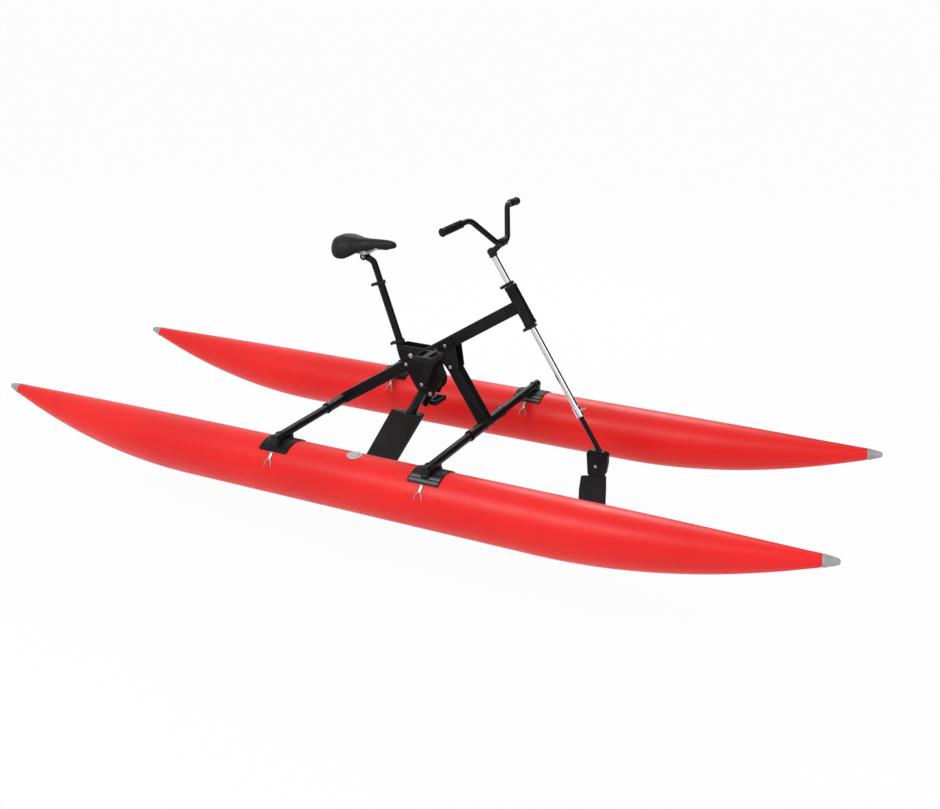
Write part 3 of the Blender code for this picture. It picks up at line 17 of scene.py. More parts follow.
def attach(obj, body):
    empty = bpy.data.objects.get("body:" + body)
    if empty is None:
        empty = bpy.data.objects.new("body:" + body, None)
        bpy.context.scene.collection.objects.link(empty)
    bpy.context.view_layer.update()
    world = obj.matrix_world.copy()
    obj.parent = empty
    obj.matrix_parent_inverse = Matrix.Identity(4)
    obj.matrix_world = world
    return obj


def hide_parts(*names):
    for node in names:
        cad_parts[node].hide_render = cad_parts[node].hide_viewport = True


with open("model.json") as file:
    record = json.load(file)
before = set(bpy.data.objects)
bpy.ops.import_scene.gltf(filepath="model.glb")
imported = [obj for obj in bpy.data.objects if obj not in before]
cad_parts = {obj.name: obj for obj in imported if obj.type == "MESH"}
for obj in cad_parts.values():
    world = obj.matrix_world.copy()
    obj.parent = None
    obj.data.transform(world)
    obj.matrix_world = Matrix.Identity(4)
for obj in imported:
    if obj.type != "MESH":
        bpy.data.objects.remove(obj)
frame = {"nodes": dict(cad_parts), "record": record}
NODES = frame["nodes"]
RECORD = frame["record"]
BODY_OF = {node: body for body, nodes in RECORD["behaviour"]["bodies"].items() for node in nodes}
SLOT_OF = {part["node"]: part["material_slot"] for part in RECORD["subparts"]}
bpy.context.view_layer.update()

# %% [markdown]
# ## The camera
#
# The photograph was taken from the starboard bow, a little above the handlebar. The camera was worked out
# from the outlines of the two pontoons, which are straight along their tops and a known distance apart. Its
# shift stays at zero, because the picture's middle is the lens's middle.

# %% Camera
CAMERA_PLACE = (2.2144, -3.9084, 2.0327)
CAMERA_TURN = (math.radians(68.65), 0.0, math.radians(26.49))
LENS_MM = 43.32
SENSOR_MM = 36.0

camera_data = bpy.data.cameras.new("camera")
camera_data.lens = LENS_MM
camera_data.sensor_width = SENSOR_MM
camera_data.clip_end = 1000.0
camera = bpy.data.objects.new("camera", camera_data)
camera.location = CAMERA_PLACE
camera.rotation_euler = CAMERA_TURN
bpy.context.scene.collection.objects.link(camera)
bpy.context.scene.camera = camera
bpy.context.scene.view_settings.view_transform = "Standard"
print("lens:", LENS_MM, "mm on a sensor of", SENSOR_MM, "mm")

# %% [markdown]
# ## Light and floor
#
# The picture is a studio shot on white. One broad lamp stands above and to the left of the camera, a weaker
# one fills from the right, and a third comes from behind, so that black tubes keep a bright edge. The white
# of the background is the colour that camera rays see, and is never made by turning the lamps up.

# %% World, lamps and floor
FLOOR_Z = -0.305
FLOOR_SIZE = 900.0
FLOOR_GREY = 0.92
FLOOR_WHITE_SHARE = 0.95
WORLD_STRENGTH = 0.55
AIM = (0.0, 0.0, 0.35)
CARD_PLACE = (3.6, 2.4, 1.6)
CARD_SIZE = (13.0, 8.0, 1.0)
CARD_GREY = 0.01
LAMPS = [
    ("key_lamp", (-1.5, -4.0, 5.0), 150.0, 2.6),
    ("fill_lamp", (5.0, -1.5, 2.6), 45.0, 3.0),
    ("rim_lamp", (-1.0, 5.0, 4.0), 90.0, 2.4),
]


def node_link(tree, start, end):
    tree.links.new(start, end)
    return end


def white_for_camera(tree, lit, white, share):
    """Mixes a lit surface with plain white where a camera, mirror or glass ray looks at it."""
    path = tree.nodes.new("ShaderNodeLightPath")
    seen = path.outputs["Is Camera Ray"]
    for ray in ("Is Glossy Ray", "Is Transmission Ray"):
        either = tree.nodes.new("ShaderNodeMath")
        either.operation = "MAXIMUM"
        node_link(tree, seen, either.inputs[0])
        node_link(tree, path.outputs[ray], either.inputs[1])
        seen = either.outputs[0]
    amount = tree.nodes.new("ShaderNodeMath")
    amount.operation = "MULTIPLY"
    amount.inputs[1].default_value = share
    node_link(tree, seen, amount.inputs[0])
    mix = tree.nodes.new("ShaderNodeMixShader")
    node_link(tree, amount.outputs[0], mix.inputs[0])
    node_link(tree, lit, mix.inputs[1])
    node_link(tree, white, mix.inputs[2])
    return mix.outputs[0]


def make_world():
    world = bpy.data.worlds.new("studio")
    bpy.context.scene.world = world
    world.use_nodes = True
    tree = world.node_tree
    tree.nodes.clear()
    lit = tree.nodes.new("ShaderNodeBackground")
    lit.inputs["Strength"].default_value = WORLD_STRENGTH
    seen = tree.nodes.new("ShaderNodeBackground")
    seen.inputs["Strength"].default_value = 1.0
    for node in (lit, seen):
        node.inputs["Color"].default_value = (1.0, 1.0, 1.0, 1.0)
    out = tree.nodes.new("ShaderNodeOutputWorld")
    node_link(tree, white_for_camera(tree, lit.outputs[0], seen.outputs[0], 1.0), out.inputs[0])


def make_floor():
    bpy.ops.object.select_all(action="DESELECT")
    bpy.ops.mesh.primitive_plane_add(size=FLOOR_SIZE, location=(0, 0, FLOOR_Z))
    floor = bpy.context.object
    floor.name = "floor"
    white = bpy.data.materials.new("floor_white")
    white.use_nodes = True
    tree = white.node_tree
    shader = tree.nodes["Principled BSDF"]
    shader.inputs["Base Color"].default_value = (*[FLOOR_GREY] * 3, 1.0)
    shader.inputs["Roughness"].default_value = 0.9
    glow = tree.nodes.new("ShaderNodeEmission")
    glow.inputs["Strength"].default_value = 1.0
    mixed = white_for_camera(tree, shader.outputs[0], glow.outputs[0], FLOOR_WHITE_SHARE)
    node_link(tree, mixed, tree.nodes["Material Output"].inputs[0])
    floor.data.materials.append(white)
    return floor


def make_lamp(name, place, power, size):
    data = bpy.data.lights.new(name, "AREA")
    data.shape = "DISK"
    data.size = size
    data.energy = power
    lamp = bpy.data.objects.new(name, data)
    lamp.location = place
    lamp.rotation_euler = (Vector(AIM) - Vector(place)).to_track_quat("-Z", "Y").to_euler()
    bpy.context.scene.collection.objects.link(lamp)
    return lamp


def make_dark_card():
    """A black card off the port bow that only mirrors see: it draws the dark line along bright tubes."""
    bpy.ops.object.select_all(action="DESELECT")
    bpy.ops.mesh.primitive_plane_add(size=1, location=CARD_PLACE)
    card = bpy.context.object
    card.name = "dark_card"
    card.scale = CARD_SIZE
    card.rotation_euler = (Vector(AIM) - Vector(CARD_PLACE)).to_track_quat("Z", "Y").to_euler()
    black = bpy.data.materials.new("card_black")
    black.use_nodes = True
    shader = black.node_tree.nodes["Principled BSDF"]
    shader.inputs["Base Color"].default_value = (*[CARD_GREY] * 3, 1.0)
    shader.inputs["Specular IOR Level"].default_value = 0.0
    card.data.materials.append(black)
    card.visible_camera = False
    card.visible_diffuse = False
    card.visible_shadow = False
    card.visible_transmission = False


make_world()
make_floor()
make_dark_card()
for name, place, power, size in LAMPS:
    make_lamp(name, place, power, size)
print("lamps:", len(LAMPS))

# %% [markdown]
# ## Finishes
#
# Every finish is made of nodes that read Object coordinates, so a pattern has its real size in metres and
# stays on the piece when it moves. Each has three layers: a base colour that drifts a little, as moulded
# and painted goods do, a roughness that drifts on another scale, and a bump at the size of the real grain.

# %% Material helpers


def new_finish(name, colour, roughness, metallic=0.0, shine=0.5):
    made = bpy.data.materials.new(name)
    made.use_nodes = True
    shader = made.node_tree.nodes["Principled BSDF"]
    shader.inputs["Base Color"].default_value = (*colour, 1.0)
    shader.inputs["Roughness"].default_value = roughness
    shader.inputs["Metallic"].default_value = metallic
    shader.inputs["Specular IOR Level"].default_value = shine
    return made, made.node_tree, shader


def object_points(tree, stretch=(1, 1, 1), turn=(0, 0, 0)):
    """Object coordinates in metres, stretched and turned."""
    place = tree.nodes.new("ShaderNodeTexCoord")
    mapping = tree.nodes.new("ShaderNodeMapping")
    mapping.inputs["Scale"].default_value = stretch
    mapping.inputs["Rotation"].default_value = turn
    node_link(tree, place.outputs["Object"], mapping.inputs["Vector"])
    return mapping.outputs["Vector"]


def noise(tree, points, scale, detail=3.0):
    made = tree.nodes.new("ShaderNodeTexNoise")
    made.inputs["Scale"].default_value = scale
    made.inputs["Detail"].default_value = detail
    node_link(tree, points, made.inputs["Vector"])
    return made.outputs["Fac"]


def ramp(tree, value, low, high, start=0.3, end=0.7):
    """Carries a 0 to 1 value to a range of plain numbers."""
    made = tree.nodes.new("ShaderNodeMapRange")
    made.inputs["From Min"].default_value = start
    made.inputs["From Max"].default_value = end
    made.inputs["To Min"].default_value = low
    made.inputs["To Max"].default_value = high
    node_link(tree, value, made.inputs["Value"])
    return made.outputs["Result"]


def two_colours(tree, value, first, second, start=0.35, end=0.65):
    made = tree.nodes.new("ShaderNodeValToRGB")
    made.color_ramp.elements[0].position = start
    made.color_ramp.elements[0].color = (*first, 1.0)
    made.color_ramp.elements[1].position = end
    made.color_ramp.elements[1].color = (*second, 1.0)
    node_link(tree, value, made.inputs["Fac"])
    return made.outputs["Color"]


def bump(tree, shader, height, depth, strength=1.0, under=None):
    """Adds a bump of that depth in metres, over an earlier one if there is one."""
    made = tree.nodes.new("ShaderNodeBump")
    made.inputs["Strength"].default_value = strength
    made.inputs["Distance"].default_value = depth
    node_link(tree, height, made.inputs["Height"])
    if under:
        node_link(tree, under, made.inputs["Normal"])
    node_link(tree, made.outputs["Normal"], shader.inputs["Normal"])
    return made.outputs["Normal"]


print("helpers for noise, ramps and bumps: ready")

# %% Drifting colour and shine


def drift(tree, shader, points, colours, roughness, colour_scale, rough_scale):
    """Lets the colour and the roughness wander slowly over the piece."""
    node_link(
        tree, two_colours(tree, noise(tree, points, colour_scale), *colours), shader.inputs["Base Color"],
    )
    node_link(tree, ramp(tree, noise(tree, points, rough_scale), *roughness), shader.inputs["Roughness"])


print("drift of colour and shine: ready")

# %% [markdown]
# ### The pontoons' red skin
#
# The skin is a woven polyester with a satin plastic coat. From a step away it is a clean red with a soft,
# wide highlight. Close up the weave shows through the coat as a faint grid of about three millimetres. Two
# wave patterns at right angles are multiplied, because that gives a grid from real sizes, with no picture
# of cloth.

# %% Red skin
WAVES_PER_SCALE = 3.18
WEAVE_PER_METRE = 354.3


def red_skin():
    made, tree, shader = new_finish("hull_red_coated_cloth", (0.85, 0.010, 0.010), 0.42, shine=0.30)
    points = object_points(tree)
    reds = ((0.80, 0.008, 0.009), (0.90, 0.013, 0.012))
    drift(tree, shader, points, reds, (0.36, 0.46), 1.6, 9.0)
    threads = []
    for turn in (0.0, math.pi / 2):
        wave = tree.nodes.new("ShaderNodeTexWave")
        wave.inputs["Scale"].default_value = WEAVE_PER_METRE / WAVES_PER_SCALE
        wave.inputs["Distortion"].default_value = 0.3
        node_link(tree, object_points(tree, turn=(turn / 2, 0, turn)), wave.inputs["Vector"])
        threads.append(wave.outputs["Fac"])
    weave = tree.nodes.new("ShaderNodeMath")
    weave.operation = "MULTIPLY"
    node_link(tree, threads[0], weave.inputs[0])
    node_link(tree, threads[1], weave.inputs[1])
    cloth = bump(tree, shader, weave.outputs[0], 0.00005, 0.5)
    bump(tree, shader, noise(tree, points, 14.0, 2.0), 0.0012, 0.25, cloth)
    shader.inputs["Coat Weight"].default_value = 0.06
    shader.inputs["Coat Roughness"].default_value = 0.35
    return made


print("weave threads per metre:", WEAVE_PER_METRE)

# %% [markdown]
# ### Blacks
#
# Four blacks meet on this craft, and telling them apart is most of its realism. The tubes are powder
# coated, with a fine orange peel. The moulded parts have a spark-eroded grain. The rubber is flatter and
# greyer, and the saddle's cover is a leathery vinyl with a pebbled grain. One helper makes all but the
# vinyl, because only their numbers differ.

# %% Black finishes
COLOUR_PATCHES = 22.0
SHINE_PATCHES = 60.0
PEBBLES_PER_METRE = 620.0


def grained(name, dark, light, roughness, grain, depth, metallic=0.0, strength=0.6, shine=0.22):
    """A plain surface with a fine grain: paint, moulded plastic or rubber."""
    made, tree, shader = new_finish(name, dark, roughness[0], metallic, shine)
    points = object_points(tree)
    drift(tree, shader, points, (dark, light), roughness, COLOUR_PATCHES, SHINE_PATCHES)
    bump(tree, shader, noise(tree, points, grain, 2.0), depth, strength)
    return made


def pebbled_vinyl():
    made, tree, shader = new_finish("saddle_vinyl", (0.008, 0.008, 0.009), 0.5, shine=0.20)
    points = object_points(tree)
    drift(tree, shader, points, ((0.006, 0.006, 0.007), (0.012, 0.012, 0.013)), (0.40, 0.54), 30.0, 90.0)
    cells = tree.nodes.new("ShaderNodeTexVoronoi")
    cells.inputs["Scale"].default_value = PEBBLES_PER_METRE
    node_link(tree, points, cells.inputs["Vector"])
    bump(tree, shader, cells.outputs["Distance"], 0.00025, 0.55)
    return made


print("pebbles per metre:", PEBBLES_PER_METRE)

# %% [markdown]
# ### Metals
#
# The steering column is polished tube, drawn lengthwise, so its faint lines run along it. The clips, rails
# and bolts are bright steel, a little duller. The saddle's clamp is cast, with a soft sandy grain. Noise
# that is stretched along one axis is enough for drawn lines, and it needs no picture of scratches.

# %% Metal finishes
STRIPES_PER_METRE = 120.0


def bright_metal(name, colour, roughness, stretch, scratch=140.0, depth=0.00002):
    made, tree, shader = new_finish(name, colour, roughness[0], 1.0)
    points = object_points(tree, stretch)
    node_link(tree, ramp(tree, noise(tree, points, scratch, 4.0), *roughness), shader.inputs["Roughness"])
    bump(tree, shader, noise(tree, points, scratch * 2, 2.0), depth, 0.3)
    return made


HULL_SKIN = red_skin()
PAINT = grained(
    "frame_powder_coat", (0.006, 0.006, 0.007), (0.010, 0.010, 0.011), (0.30, 0.42), 1400.0, 0.00006,
    shine=0.13,
)
MOULDED = grained(
    "moulded_black_grain", (0.008, 0.008, 0.009), (0.014, 0.014, 0.015), (0.42, 0.56), 2200.0, 0.00009,
    shine=0.18,
)
VINYL = pebbled_vinyl()
PAD_RUBBER = grained(
    "pad_rubber", (0.006, 0.006, 0.007), (0.011, 0.011, 0.012), (0.34, 0.46), 1100.0, 0.00012, shine=0.12,
)
CONE_PLASTIC = grained(
    "cone_moulded_grey", (0.33, 0.33, 0.34), (0.40, 0.40, 0.41), (0.42, 0.55), 1600.0, 0.00008, shine=0.5,
)
VALVE_PLASTIC = grained(
    "valve_moulded_grey", (0.50, 0.50, 0.51), (0.58, 0.58, 0.59), (0.38, 0.50), 1600.0, 0.00008, shine=0.5,
)
POLISHED = bright_metal("column_polished", (0.66, 0.66, 0.67), (0.10, 0.18), (14, 14, 1))
STEEL = bright_metal("bright_steel_drawn", (0.40, 0.40, 0.41), (0.24, 0.36), (6, 6, 6))
ALLOY = grained(
    "cast_alloy_sandy", (0.42, 0.42, 0.43), (0.50, 0.50, 0.51), (0.38, 0.52), 1800.0, 0.00012, 1.0,
    shine=0.5,
)
FINISHES = {
    "hull_red": HULL_SKIN,
    "frame_black": PAINT,
    "moulded_black": MOULDED,
    "soft_black": VINYL,
    "pad_grey": PAD_RUBBER,
    "cone_grey": CONE_PLASTIC,
    "valve_grey": VALVE_PLASTIC,
    "column_chrome": POLISHED,
    "bright_steel": STEEL,
    "cast_alloy": ALLOY,
}


def striped_rubber():
    """Grey ribbed rubber, crossed by dark bands that repeat up its height."""
    made, tree, shader = new_finish("ribbed_grey_rubber", (0.12, 0.12, 0.125), 0.55, shine=0.3)
    points = object_points(tree)
    wave = tree.nodes.new("ShaderNodeTexWave")
    wave.bands_direction = "Z"
    wave.inputs["Scale"].default_value = STRIPES_PER_METRE / WAVES_PER_SCALE
    wave.inputs["Distortion"].default_value = 0.4
    node_link(tree, points, wave.inputs["Vector"])
    colour = two_colours(tree, wave.outputs["Fac"], (0.030, 0.030, 0.032), (0.17, 0.17, 0.175), 0.30, 0.55)
    node_link(tree, colour, shader.inputs["Base Color"])
    node_link(tree, ramp(tree, noise(tree, points, 60.0), 0.48, 0.62), shader.inputs["Roughness"])
    bump(tree, shader, noise(tree, points, 1100.0, 2.0), 0.00012, 0.6)
    return made


GRIP_RUBBER = grained(
    "grip_rubber", (0.006, 0.006, 0.007), (0.011, 0.011, 0.012), (0.52, 0.66), 1500.0, 0.00012, shine=0.12,
)
RIB_RUBBER = striped_rubber()
WELD_METAL = grained(
    "painted_weld", (0.006, 0.006, 0.007), (0.010, 0.010, 0.011), (0.22, 0.34), 900.0, 0.0001, shine=0.35,
)
print("finishes:", len(FINISHES) + 3)

# %% [markdown]
# ## Builders
#
# Almost everything here is a tube, a turned part, a cut plate or a moulded block, so four builders do most
# of the work. A turned part grows ring by ring: a circle is extruded along its axis and resized to each
# point of its profile. A plate is an outline given thickness and a small round edge. A block is a cube with
# its edges bevelled. A wire is a path given thickness. Each is made at a plain place and then carried to
# its own.

# %% Places on the craft
HULL_Y = 0.4795
HULL_RADIUS = 0.1172
HULL_TOP = 2 * HULL_RADIUS
PAD_THICKNESS = 0.0035
SEAT_GAP = 0.0003
TUBE_RADIUS = 0.0175
TUBE_HALF = 0.531
TUBE_Z = HULL_TOP + PAD_THICKNESS + TUBE_RADIUS
FRONT_X, REAR_X = 0.341, -0.3425
SLEEVE_RADIUS = 0.0216
SLEEVE_HALF = 0.155
BEAM_SIZE = 0.050
BEAM_SLOPE = math.radians(32.4)
BEAM_AHEAD = Vector((math.cos(BEAM_SLOPE), 0, math.sin(BEAM_SLOPE)))
STEER_UP = Vector((-math.sin(BEAM_SLOPE), 0, math.cos(BEAM_SLOPE)))
REAR_TUBE = Vector((REAR_X, 0, TUBE_Z))
FRONT_TUBE = Vector((FRONT_X, 0, TUBE_Z))
BEAM_RUN = 0.830
BEAM_LENGTH = BEAM_RUN / math.cos(BEAM_SLOPE)
HEAD = REAR_TUBE + BEAM_AHEAD * BEAM_LENGTH
MAST = Vector((-0.0616, 0, 0.5538))
MAST_LEAN = math.radians(19.35)
MAST_UP = Vector((-math.sin(MAST_LEAN), 0, math.cos(MAST_LEAN)))
DRIVE = Vector((0.083, 0, 0.410))
LEG_DOWN = Vector((-0.5, 0, -math.sqrt(3) / 2))
LEG_LENGTH = 0.647
LEG_FOOT = DRIVE + LEG_DOWN * LEG_LENGTH
SIDES = (("port", 1), ("starboard", -1))
ENDS = (("front", FRONT_X), ("rear", REAR_X))


def facing(origin, up=(0, 0, 1), side=(1, 0, 0)):
    """A placement whose Z runs along `up` and whose X leans to `side`."""
    z = Vector(up).normalized()
    x = Vector(side)
    x = x - z * x.dot(z)
    if x.length < 1e-6:
        x = Vector((0, 0, 1)).cross(z)
    x.normalize()
    made = Matrix((x, z.cross(x), z)).transposed().to_4x4()
    made.translation = Vector(origin)
    return made


def moved(x, y, z):
    return Matrix.Translation((x, y, z))


def along_steer(distance, ahead=0.0):
    return HEAD + STEER_UP * distance + BEAM_AHEAD * ahead


def along_mast(distance):
    return MAST + MAST_UP * distance


print("head tube centre:", [round(v, 4) for v in HEAD])

# %% Builders


def activate(piece):
    bpy.ops.object.select_all(action="DESELECT")
    piece.select_set(True)
    bpy.context.view_layer.objects.active = piece


def edit_all(piece):
    activate(piece)
    bpy.ops.object.mode_set(mode="EDIT")
    bpy.ops.mesh.select_all(action="SELECT")


def done_editing():
    bpy.ops.mesh.select_all(action="SELECT")
    bpy.ops.mesh.normals_make_consistent(inside=False)
    bpy.ops.object.mode_set(mode="OBJECT")


def apply_all(piece):
    activate(piece)
    for step in list(piece.modifiers):
        bpy.ops.object.modifier_apply(modifier=step.name)


def bevel_edges(piece, width, segments=2, angle=30.0):
    step = piece.modifiers.new("edges", "BEVEL")
    step.width = width
    step.segments = segments
    step.limit_method = "ANGLE"
    step.angle_limit = math.radians(angle)
    step.harden_normals = False
    apply_all(piece)


def put(piece, name, place, finish):
    """Names a finished shape, carries it to its place and paints it."""
    piece.name = name
    piece.data.transform(place)
    if place.determinant() < 0:
        piece.data.flip_normals()
    piece.data.materials.clear()
    piece.data.materials.append(finish)
    return piece


def ringed(name, profile, place, finish, sides=64, hollow=False, edge=0.0):
    """A turned piece from (radius, height) points; a hollow one closes from its last ring to its first."""
    (radius, height), *rest = profile
    bpy.ops.object.select_all(action="DESELECT")
    bpy.ops.mesh.primitive_circle_add(vertices=sides, radius=radius)
    piece = bpy.context.object
    edit_all(piece)
    bpy.ops.transform.translate(value=(0, 0, height))
    for next_radius, next_height in rest:
        bpy.ops.mesh.extrude_region_move(TRANSFORM_OT_translate={"value": (0, 0, next_height - height)})
        share = next_radius / radius
        bpy.ops.transform.resize(value=(share, share, 1), center_override=(0, 0, next_height))
        radius, height = next_radius, next_height
    bpy.ops.mesh.select_all(action="DESELECT")
    bpy.ops.mesh.select_non_manifold()
    if hollow:
        bpy.ops.mesh.bridge_edge_loops()
    else:
        bpy.ops.mesh.fill_holes(sides=0)
    done_editing()
    if edge:
        bevel_edges(piece, edge)
    return put(piece, name, place, finish)


def rod(name, radius, low, high, place, finish, sides=64, edge=0.0):
    return ringed(name, [(radius, low), (radius, high)], place, finish, sides, edge=edge)


def block(name, size, place, finish, edge=0.001, segments=3):
    bpy.ops.object.select_all(action="DESELECT")
    bpy.ops.mesh.primitive_cube_add(size=1)
    piece = bpy.context.object
    edit_all(piece)
    bpy.ops.transform.resize(value=size)
    done_editing()
    bevel_edges(piece, edge, segments)
    return put(piece, name, place, finish)


print("builders of turned pieces, rods and blocks: ready")

# %% Wires and plates


def from_curve(curve, name, place, finish):
    drawn = bpy.data.objects.new(name, curve)
    bpy.context.scene.collection.objects.link(drawn)
    activate(drawn)
    bpy.ops.object.convert(target="MESH")
    piece = bpy.context.object
    edit_all(piece)
    bpy.ops.mesh.remove_doubles(threshold=1e-6)
    done_editing()
    return put(piece, name, place, finish)


def wire(name, points, radius, finish, place=None, round_steps=8, radii=None, closed=False):
    """A round wire or tube along the points, with closed ends."""
    curve = bpy.data.curves.new(name, "CURVE")
    curve.dimensions = "3D"
    curve.bevel_depth = radius
    curve.bevel_resolution = round_steps
    curve.use_fill_caps = not closed
    curve.twist_mode = "MINIMUM"
    line = curve.splines.new("POLY")
    line.points.add(len(points) - 1)
    for index, point in enumerate(points):
        line.points[index].co = (*point, 1)
        line.points[index].radius = radii[index] if radii else 1.0
    line.use_cyclic_u = closed
    return from_curve(curve, name, place or Matrix(), finish)


def plate(name, outline, thickness, place, finish, edge=0.0006):
    """A flat plate lying across its place, with a small round edge on both faces."""
    curve = bpy.data.curves.new(name, "CURVE")
    curve.dimensions = "2D"
    curve.fill_mode = "BOTH"
    curve.extrude = thickness / 2 - edge
    curve.bevel_depth = edge
    curve.bevel_resolution = 2
    curve.offset = -edge
    line = curve.splines.new("POLY")
    line.points.add(len(outline) - 1)
    for index, (x, y) in enumerate(outline):
        line.points[index].co = (x, y, 0, 1)
    line.use_cyclic_u = True
    return from_curve(curve, name, place, finish)


def fillet(points, radius, steps=6, closed=True):
    """Rounds the corners of a path, in the plane or in space."""
    path = []
    count = len(points)
    for index, point in enumerate(points):
        here = Vector(point)
        if not closed and index in (0, count - 1):
            path.append(here)
            continue
        before, after = Vector(points[index - 1]), Vector(points[(index + 1) % count])
        back, ahead = (before - here), (after - here)
        turn = back.angle(ahead)
        if abs(math.pi - turn) < 0.02:
            path.append(here)
            continue
        cut_length = min(radius / math.tan(turn / 2), 0.49 * back.length, 0.49 * ahead.length)
        start, end = here + back.normalized() * cut_length, here + ahead.normalized() * cut_length
        for step in range(steps + 1):
            t = step / steps
            path.append(start * (1 - t) ** 2 + here * 2 * t * (1 - t) + end * t**2)
    return path


def circle(radius, count=32, start=0.0, end=math.tau, closed=True):
    steps = count if closed else count - 1
    return [
        (
            radius * math.cos(start + (end - start) * i / steps),
            radius * math.sin(start + (end - start) * i / steps),
        )
        for i in range(count)
    ]


print("builders of wires and plates: ready")

# %% Copies, cuts and skins


def copy_to(piece, name, place):
    """A second piece of the same shape, with its own mesh, moved by `place`."""
    made = bpy.data.objects.new(name, piece.data.copy())
    bpy.context.scene.collection.objects.link(made)
    made.data.transform(place)
    if place.determinant() < 0:
        made.data.flip_normals()
    return made


def unite(name, *parts):
    bpy.ops.object.select_all(action="DESELECT")
    for part in parts:
        part.select_set(True)
    bpy.context.view_layer.objects.active = parts[0]
    if len(parts) > 1:
        bpy.ops.object.join()
    parts[0].name = name
    return parts[0]


def cut_away(piece, *cutters):
    for cutter in cutters:
        step = piece.modifiers.new("cut", "BOOLEAN")
        step.object = cutter
        step.solver = "EXACT"
        apply_all(piece)
        bpy.data.objects.remove(cutter)
    return piece


def skin_over(name, rings):
    """A closed skin from ring to ring of points, with both ends capped."""
    shape = bmesh.new()
    loops = [[shape.verts.new(point) for point in ring] for ring in rings]
    count = len(loops[0])
    for back, ahead in zip(loops, loops[1:]):
        for i in range(count):
            shape.faces.new((back[i], back[(i + 1) % count], ahead[(i + 1) % count], ahead[i]))
    shape.faces.new(loops[0])
    shape.faces.new(list(reversed(loops[-1])))
    bmesh.ops.recalc_face_normals(shape, faces=shape.faces)
    mesh = bpy.data.meshes.new(name)
    shape.to_mesh(mesh)
    shape.free()
    made = bpy.data.objects.new(name, mesh)
    bpy.context.scene.collection.objects.link(made)
    return made


print("copies, joins, cuts and skins: ready")

# %% Handing over
STANDING_FOR = {}


def hand_over(node, *parts, smooth=35.0):
    """Joins the parts of one piece, smooths it, and lets it ride in the place of its CAD node."""
    piece = unite(node + "_made", *parts)
    activate(piece)
    bpy.ops.object.shade_smooth_by_angle(angle=math.radians(smooth))
    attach(piece, BODY_OF[node])
    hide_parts(node)
    STANDING_FOR[node] = piece
    return piece


def ride_along(piece, node, smooth=35.0):
    """An extra piece, such as a bolt or a seam, that moves with a node's body."""
    activate(piece)
    bpy.ops.object.shade_smooth_by_angle(angle=math.radians(smooth))
    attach(piece, BODY_OF[node])
    return piece


def opposite(y=0.0):
    """Mirrors port and starboard about the plane at y."""
    return moved(0, 2 * y, 0) @ Matrix.Scale(-1, 4, (0, 1, 0))


print("pieces so far:", len(STANDING_FOR))

# %% [markdown]
# ### Fasteners and welds
#
# The screws are button heads with a hexagon socket, pressed cold from wire. A head is a low dome with a
# six-sided hole, on a thin washer. A weld is a bead laid in small overlapping pools, so its wire swells and
# thins every couple of millimetres. One screw is modelled and copied at each size, so that all of them
# agree.

# %% Screws


def make_screw():
    dome = [(0.0062, 0.0), (0.0062, 0.0007), (0.0055, 0.0022), (0.0042, 0.0031), (0.0030, 0.0034)]
    head = ringed("screw_head", dome, Matrix(), STEEL, 40)
    socket = rod("socket", 0.0023, 0.0012, 0.006, Matrix(), STEEL, 6)
    cut_away(head, socket)
    washer = ringed("washer", [(0.0078, -0.0008), (0.0078, 0.0002), (0.0074, 0.0005)], Matrix(), STEEL, 40)
    return unite("screw", head, washer)


SCREW = make_screw()


def screw_at(name, place, size=1.0):
    return copy_to(SCREW, name, place @ Matrix.Scale(size, 4))


print("screw triangles:", sum(len(f.vertices) - 2 for f in SCREW.data.polygons))

# %% Weld beads


def weld(name, path, radius=0.0016, pool=0.0022, closed=True):
    """A weld bead along a path, its pools a couple of millimetres apart."""
    line = [Vector(p) for p in path]
    if closed:
        line.append(line[0].copy())
    points, lengths = [], [(b - a).length for a, b in zip(line, line[1:])]
    total = sum(lengths)
    count = max(int(total / pool) * 4, 8)
    travelled, index = 0.0, 0
    for step in range(count):
        at = total * step / count
        while index < len(lengths) - 1 and at > travelled + lengths[index]:
            travelled += lengths[index]
            index += 1
        share = (at - travelled) / max(lengths[index], 1e-9)
        points.append(line[index].lerp(line[index + 1], min(share, 1.0)))
    swell = [(0.82, 1.0, 1.12, 1.0)[step % 4] for step in range(count)]
    return wire(name, points, radius, WELD_METAL, round_steps=1, radii=swell, closed=closed)


print("builder of weld beads: ready")

# %% [markdown]
# ## Pontoons
#
# Each pontoon is one long tube of coated cloth round an inner bladder, pumped hard, and its ends taper
# upwards so that its top line stays straight. On the real thing the skin is cut flat and welded into a
# tube, which leaves a lap seam low on the inner side, and puckers where the cloth is gathered to the end
# cone. The tube grows ring by ring about its top line; the puckers are worked into the rings near each end.

# %% Pontoons
HULL_HALF = 1.795
HULL_TAPER = 1.0
HULL_TIP = 0.022
HULL_SIDES = 96
PUCKERS = 16
PUCKER_DEPTH = 0.0011
PUCKER_FADE = 0.045
PUCKER_START = 0.01
SEAM_ANGLE = math.radians(222)
SEAM_SPREAD = math.radians(9.0)
SEAM_END = 0.05
SEAM_STATIONS = 60
SEAM_PROUD, SEAM_SUNK = 0.0006, -0.001
SEAM_SECTION = [
    (-1.0, SEAM_SUNK),
    *((share, SEAM_PROUD) for share in (-0.97, -0.5, 0.0, 0.5, 0.97)),
    (1.0, SEAM_SUNK),
]


def hull_radius(from_end):
    share = min(max(from_end / HULL_TAPER, 0.0), 1.0)
    return HULL_RADIUS - (HULL_RADIUS - HULL_TIP) * (1 - share) ** 2


